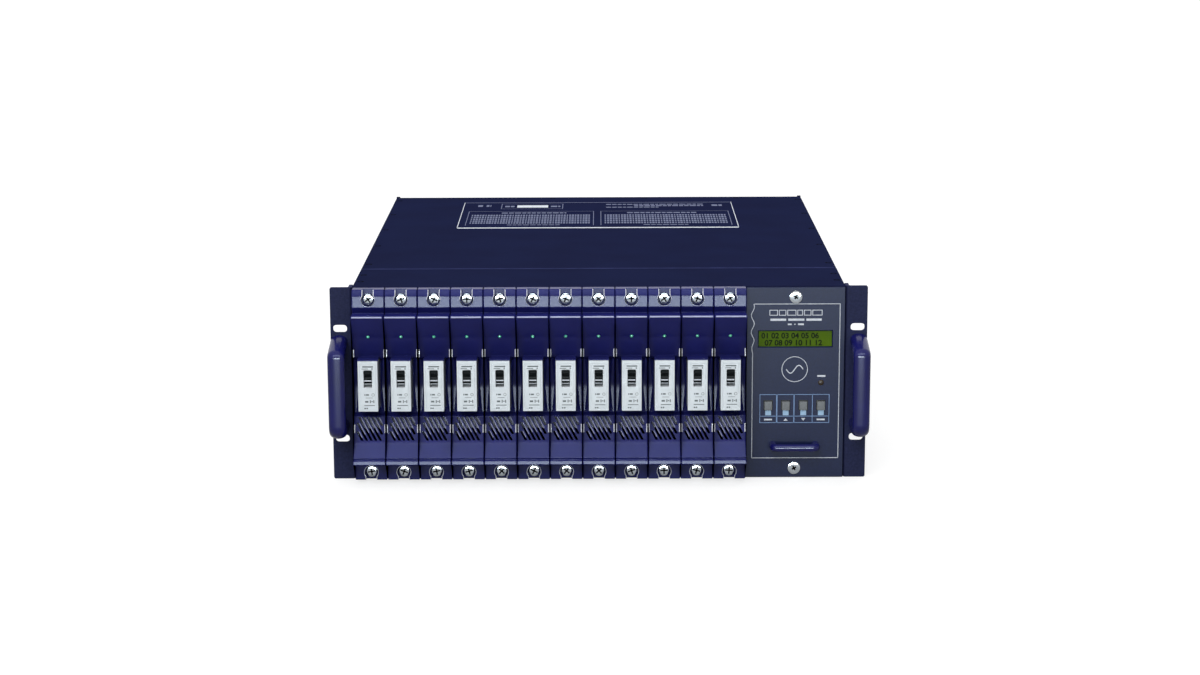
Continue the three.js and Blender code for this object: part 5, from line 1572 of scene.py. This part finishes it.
class DIMMER_OT_rear(Builder, bpy.types.Operator):
    """Makes the rear panel with its grille, outlets, gland, data sockets and earth stud"""

    bl_idname = "dimmer.rear"
    bl_label = "Rear panel"

    def build(self, scene):
        (sheet,) = in_mm(scene.dimmer_case, "sheet")
        low, high = node_box("rear_panel")
        rear = CASE_HIGH[1]
        inside = rear - sheet
        fan, gland = node_middle("fan_frame"), node_middle("mains_gland")
        outlets = {side: node_middle(f"output_socket_{side}") for side in ("left", "right")}
        data_x = node_box("fan_frame")[0][0] - 44
        data = [(data_x, 130), (data_x, 84)]
        plate = slab((low[0], high[0]), (inside, rear), (low[2], PACK_HEIGHT), 0.35, "y", 0.6)
        holes = [(*spot, 22.3, 40) for spot in outlets.values()]
        holes += [(*gland, 16.3, 32), *[(*spot, 9.4, 32) for spot in data]]
        cutters = [bar(disc(*hole), "y", inside - 2, rear + 2) for hole in holes]
        plate = cut(plate, *cutters, joined(*self.grille(fan, inside, rear)))
        tabs = [
            slab((x0, x0 + 4), (inside, rear), (PACK_HEIGHT - 0.6, high[2]), 0.3)
            for x0 in (low[0], high[0] - 4)
        ]
        place("rear_sheet", joined(plate, *tabs), "powder_coat_case", "chassis", ["rear_panel"])
        heads = self.corner_screws((3.6, 2.2), fan, FAN_REACH, rear)
        place("fan_screws", heads, "black_oxide_screw", "chassis")
        for side, (x, z) in outlets.items():
            self.outlet(side, x, z, rear + 0.3)
        self.gland(gland, rear + 0.3, node_box("mains_gland")[1][1])
        for index, (x, z) in enumerate(data, 1):
            self.data_socket(index, x, z, rear)
        self.earth_stud(rear)
        places = [(x, rear, z) for x in (-212, -118, -20, 76, 214) for z in (8, 169)]
        screws = repeated(backward(sunk_screw(2.6)), places)
        place("rear_screws", screws, "black_oxide_screw", "chassis")

    def corner_screws(self, pan, centre, reach, seat):
        """A pan screw at each corner of a square about a centre."""
        x, z = centre
        places = [(x + u * reach, seat, z + v * reach) for u, v in CORNERS]
        return repeated(backward(pan_screw(*pan)), places)

    def grille(self, centre, inside, rear):
        """Level slots with round ends; each one's half length is what the fan's circle leaves it."""
        radius, pitch, half_height = 54.3, 8.4, 2.6
        slots = []
        for row in range(-5, 6):
            z = centre[1] + row * pitch
            half = math.sqrt(radius ** 2 - (abs(row) * pitch + half_height) ** 2)
            outline = rectangle(centre[0] - half, centre[0] + half, z - half_height, z + half_height)
            slots.append(bar(soften(outline, 2.5, 4), "y", inside - 2, rear + 2))
        return slots

    def outlet(self, side, x, z, seat):
        """A multi-pole outlet: a flange with four screws, a ribbed barrel and a face of contacts."""
        flange = slab((x - 28, x + 28), (seat, seat + 3), (z - 28, z + 28), 0.6, "y", 5)
        barrel = lathe([
            (18.5, seat + 1), (22, seat + 1), (22, seat + 5), (21.2, seat + 5.6), (21.2, seat + 6.4),
            (22, seat + 7), (22, seat + 8.6), (21.2, seat + 9.2), (21.2, seat + 10), (22, seat + 10.6),
            (22, seat + 14), (21.4, seat + 15), (19.2, seat + 15), (18.5, seat + 14.2), (18.5, seat + 1),
        ], "y", (x, 0, z), 56)
        body = drum(22, seat - 27.5, seat + 1, (x, 0, z), 40)
        flange = cut(flange, bar(disc(x, z, 18.3, 56), "y", seat + 0.5, seat + 5))
        insert = bar(disc(x, z, 18.5, 48), "y", seat - 2, seat + 3)
        place(f"outlet_{side}", joined(flange, barrel, body, insert), "moulded_pbt", "chassis",
              [f"output_socket_{side}"])
        spots = [(0, 0)] + [(6.2, a) for a in np.arange(6) * math.pi / 3]
        spots += [(12.6, a) for a in np.arange(12) * math.pi / 6 + 0.26]
        contact = lathe([
            (0, seat + 3.2), (0.7, seat + 3.2), (0.8, seat + 4.2), (1.5, seat + 4.2), (1.6, seat + 2.5),
            (0, seat + 2.5),
        ], "y", (0, 0, 0), 12)
        places = [(x + radius * math.cos(a), 0, z + radius * math.sin(a)) for radius, a in spots]
        place(f"outlet_contacts_{side}", repeated(contact, places), "brass_contact", "chassis")
        heads = self.corner_screws((3.0, 1.8), (x, z), 23, seat + 3)
        place(f"outlet_screws_{side}", heads, "zinc_plated_screw", "chassis")

    def gland(self, centre, seat, tip):
        """A hexagon on its washer, and a domed nut with grip ribs round it and a rubber seal inside."""
        x, z = centre
        hexagon = bar(soften(disc(x, z, 24, 6), 1.5, 2), "y", seat, seat + 8, 0.8)
        thread = drum(16, seat - 18, seat + 2, (x, 0, z), 36)
        sides, ribs = 96, 16
        angle = np.arange(sides) * 2 * math.pi / sides
        wave = np.sin(angle * ribs)
        ripple = 1 + 0.028 * np.sign(wave) * np.abs(wave) ** 0.5
        nut = loft([
            upright(on_circle(x, z, radius * (1 + (ripple - 1) * depth), angle), y)
            for radius, y, depth in (
                (9.5, seat + 6.5, 0), (19.4, seat + 7.8, 1), (20.0, seat + 9, 1), (20.0, seat + 16, 1),
                (18.6, seat + 21, 0.6), (16.2, seat + 26.5, 0.2), (14.2, tip, 0), (10.6, tip, 0),
                (9.6, tip - 1.2, 0), (9.5, seat + 6.5, 0),
            )
        ])
        place("gland_body", joined(hexagon, thread, nut), "moulded_pbt", "chassis", ["mains_gland"])
        seal = lathe([
            (6.6, seat + 8), (9.5, seat + 8), (9.5, tip - 3), (8.6, tip - 2.4), (6.9, tip - 4),
            (6.6, seat + 8),
        ], "y", (x, 0, z), 36)
        place("gland_seal", seal, "nitrile_rubber_and_painted_shade", "chassis")

    def data_socket(self, index, x, z, rear):
        """A round five-pole data socket: a flange with two screws, a shell and an insert with pins."""
        flange = slab((x - 13, x + 13), (rear - 0.1, rear + 2), (z - 15.5, z + 15.5), 0.4, "y", 3)
        shell = lathe([
            (9.4, rear + 0.5), (11.8, rear + 0.5), (11.8, rear + 8.4), (11.3, rear + 9), (9.9, rear + 9),
            (9.4, rear + 8.5), (9.4, rear + 0.5),
        ], "y", (x, 0, z), 48)
        flange = cut(flange, bar(disc(x, z, 9.3, 40), "y", rear + 0.6, rear + 5))
        place(f"data_socket_{index}", joined(flange, shell), "nickel_plate", "chassis")
        insert = drum(9.3, rear - 4, rear + 1.4, (x, 0, z), 40)
        place(f"data_insert_{index}", insert, "moulded_pbt", "chassis")
        tip = rear + (7.0 if index == 1 else 2.2)
        pin = lathe([
            (0, rear), (1.15, rear), (1.15, tip - 0.6), (0.6, tip), (0, tip),
        ], "y", (0, 0, 0), 12)
        places = [
            (x + 5.4 * math.cos(angle), 0, z - 5.4 * math.sin(angle))
            for angle in np.radians([90, 90 + 62, 90 + 124, 90 - 62, 90 - 124])
        ]
        place(f"data_pins_{index}", repeated(pin, places), "brass_contact", "chassis")
        places = [(x + u, rear + 2, z + v) for u, v in ((-9.6, 12.2), (9.6, -12.2))]
        heads = repeated(backward(pan_screw(2.4, 1.4)), places)
        place(f"data_screws_{index}", heads, "zinc_plated_screw", "chassis")

    def earth_stud(self, rear):
        """A threaded stud, drawn as a column of narrow steps, with its washer and nut."""
        x, z = -204, 24
        washer = lathe([
            (3.2, rear), (7, rear), (7, rear + 1.2), (3.2, rear + 1.2), (3.2, rear),
        ], "y", (x, 0, z), 28)
        nut = bar(soften(disc(x, z, 5.8, 6), 0.5, 2), "y", rear + 1.2, rear + 6, 0.5)
        tip = rear + 14
        thread = [(3.0 - 0.3 * (at % 2), y) for at, y in enumerate(np.arange(rear, tip, 0.5))]
        stud = lathe([(0, rear), *thread, (0, tip)], "y", (x, 0, z), 20)
        place("earth_stud", joined(washer, nut, stud), "brass_contact", "chassis")


STEPS = [
    DIMMER_OT_stage, DIMMER_OT_case, DIMMER_OT_cover_table, DIMMER_OT_ears, DIMMER_OT_fascias,
    DIMMER_OT_breakers, DIMMER_OT_module_insides, DIMMER_OT_control_front, DIMMER_OT_control_inside,
    DIMMER_OT_backplane, DIMMER_OT_fan, DIMMER_OT_rear,
]


class DIMMER_PT_panel(bpy.types.Panel):
    """Lists the steps that build the pack, and its settings"""

    bl_idname = "DIMMER_PT_panel"
    bl_label = "Dimmer Pack"
    bl_space_type = "VIEW_3D"
    bl_region_type = "UI"
    bl_category = "Dimmer Pack"

    def draw(self, context):
        for step in STEPS:
            self.layout.operator(step.bl_idname)
        for name, group in SETTINGS.items():
            box = self.layout.box()
            for prop in group.__annotations__:
                box.prop(getattr(context.scene, name), prop)


def register():
    for group in (*SETTINGS.values(), *STEPS, DIMMER_PT_panel):
        bpy.utils.register_class(group)
    for name, group in SETTINGS.items():
        setattr(bpy.types.Scene, name, PointerProperty(type=group))


def unregister():
    for name in SETTINGS:
        delattr(bpy.types.Scene, name)
    for group in reversed((*SETTINGS.values(), *STEPS, DIMMER_PT_panel)):
        bpy.utils.unregister_class(group)


def main():
    register()
    for step in STEPS:
        group, call = step.bl_idname.split(".")
        getattr(getattr(bpy.ops, group), call)()


if __name__ == "__main__":
    main()
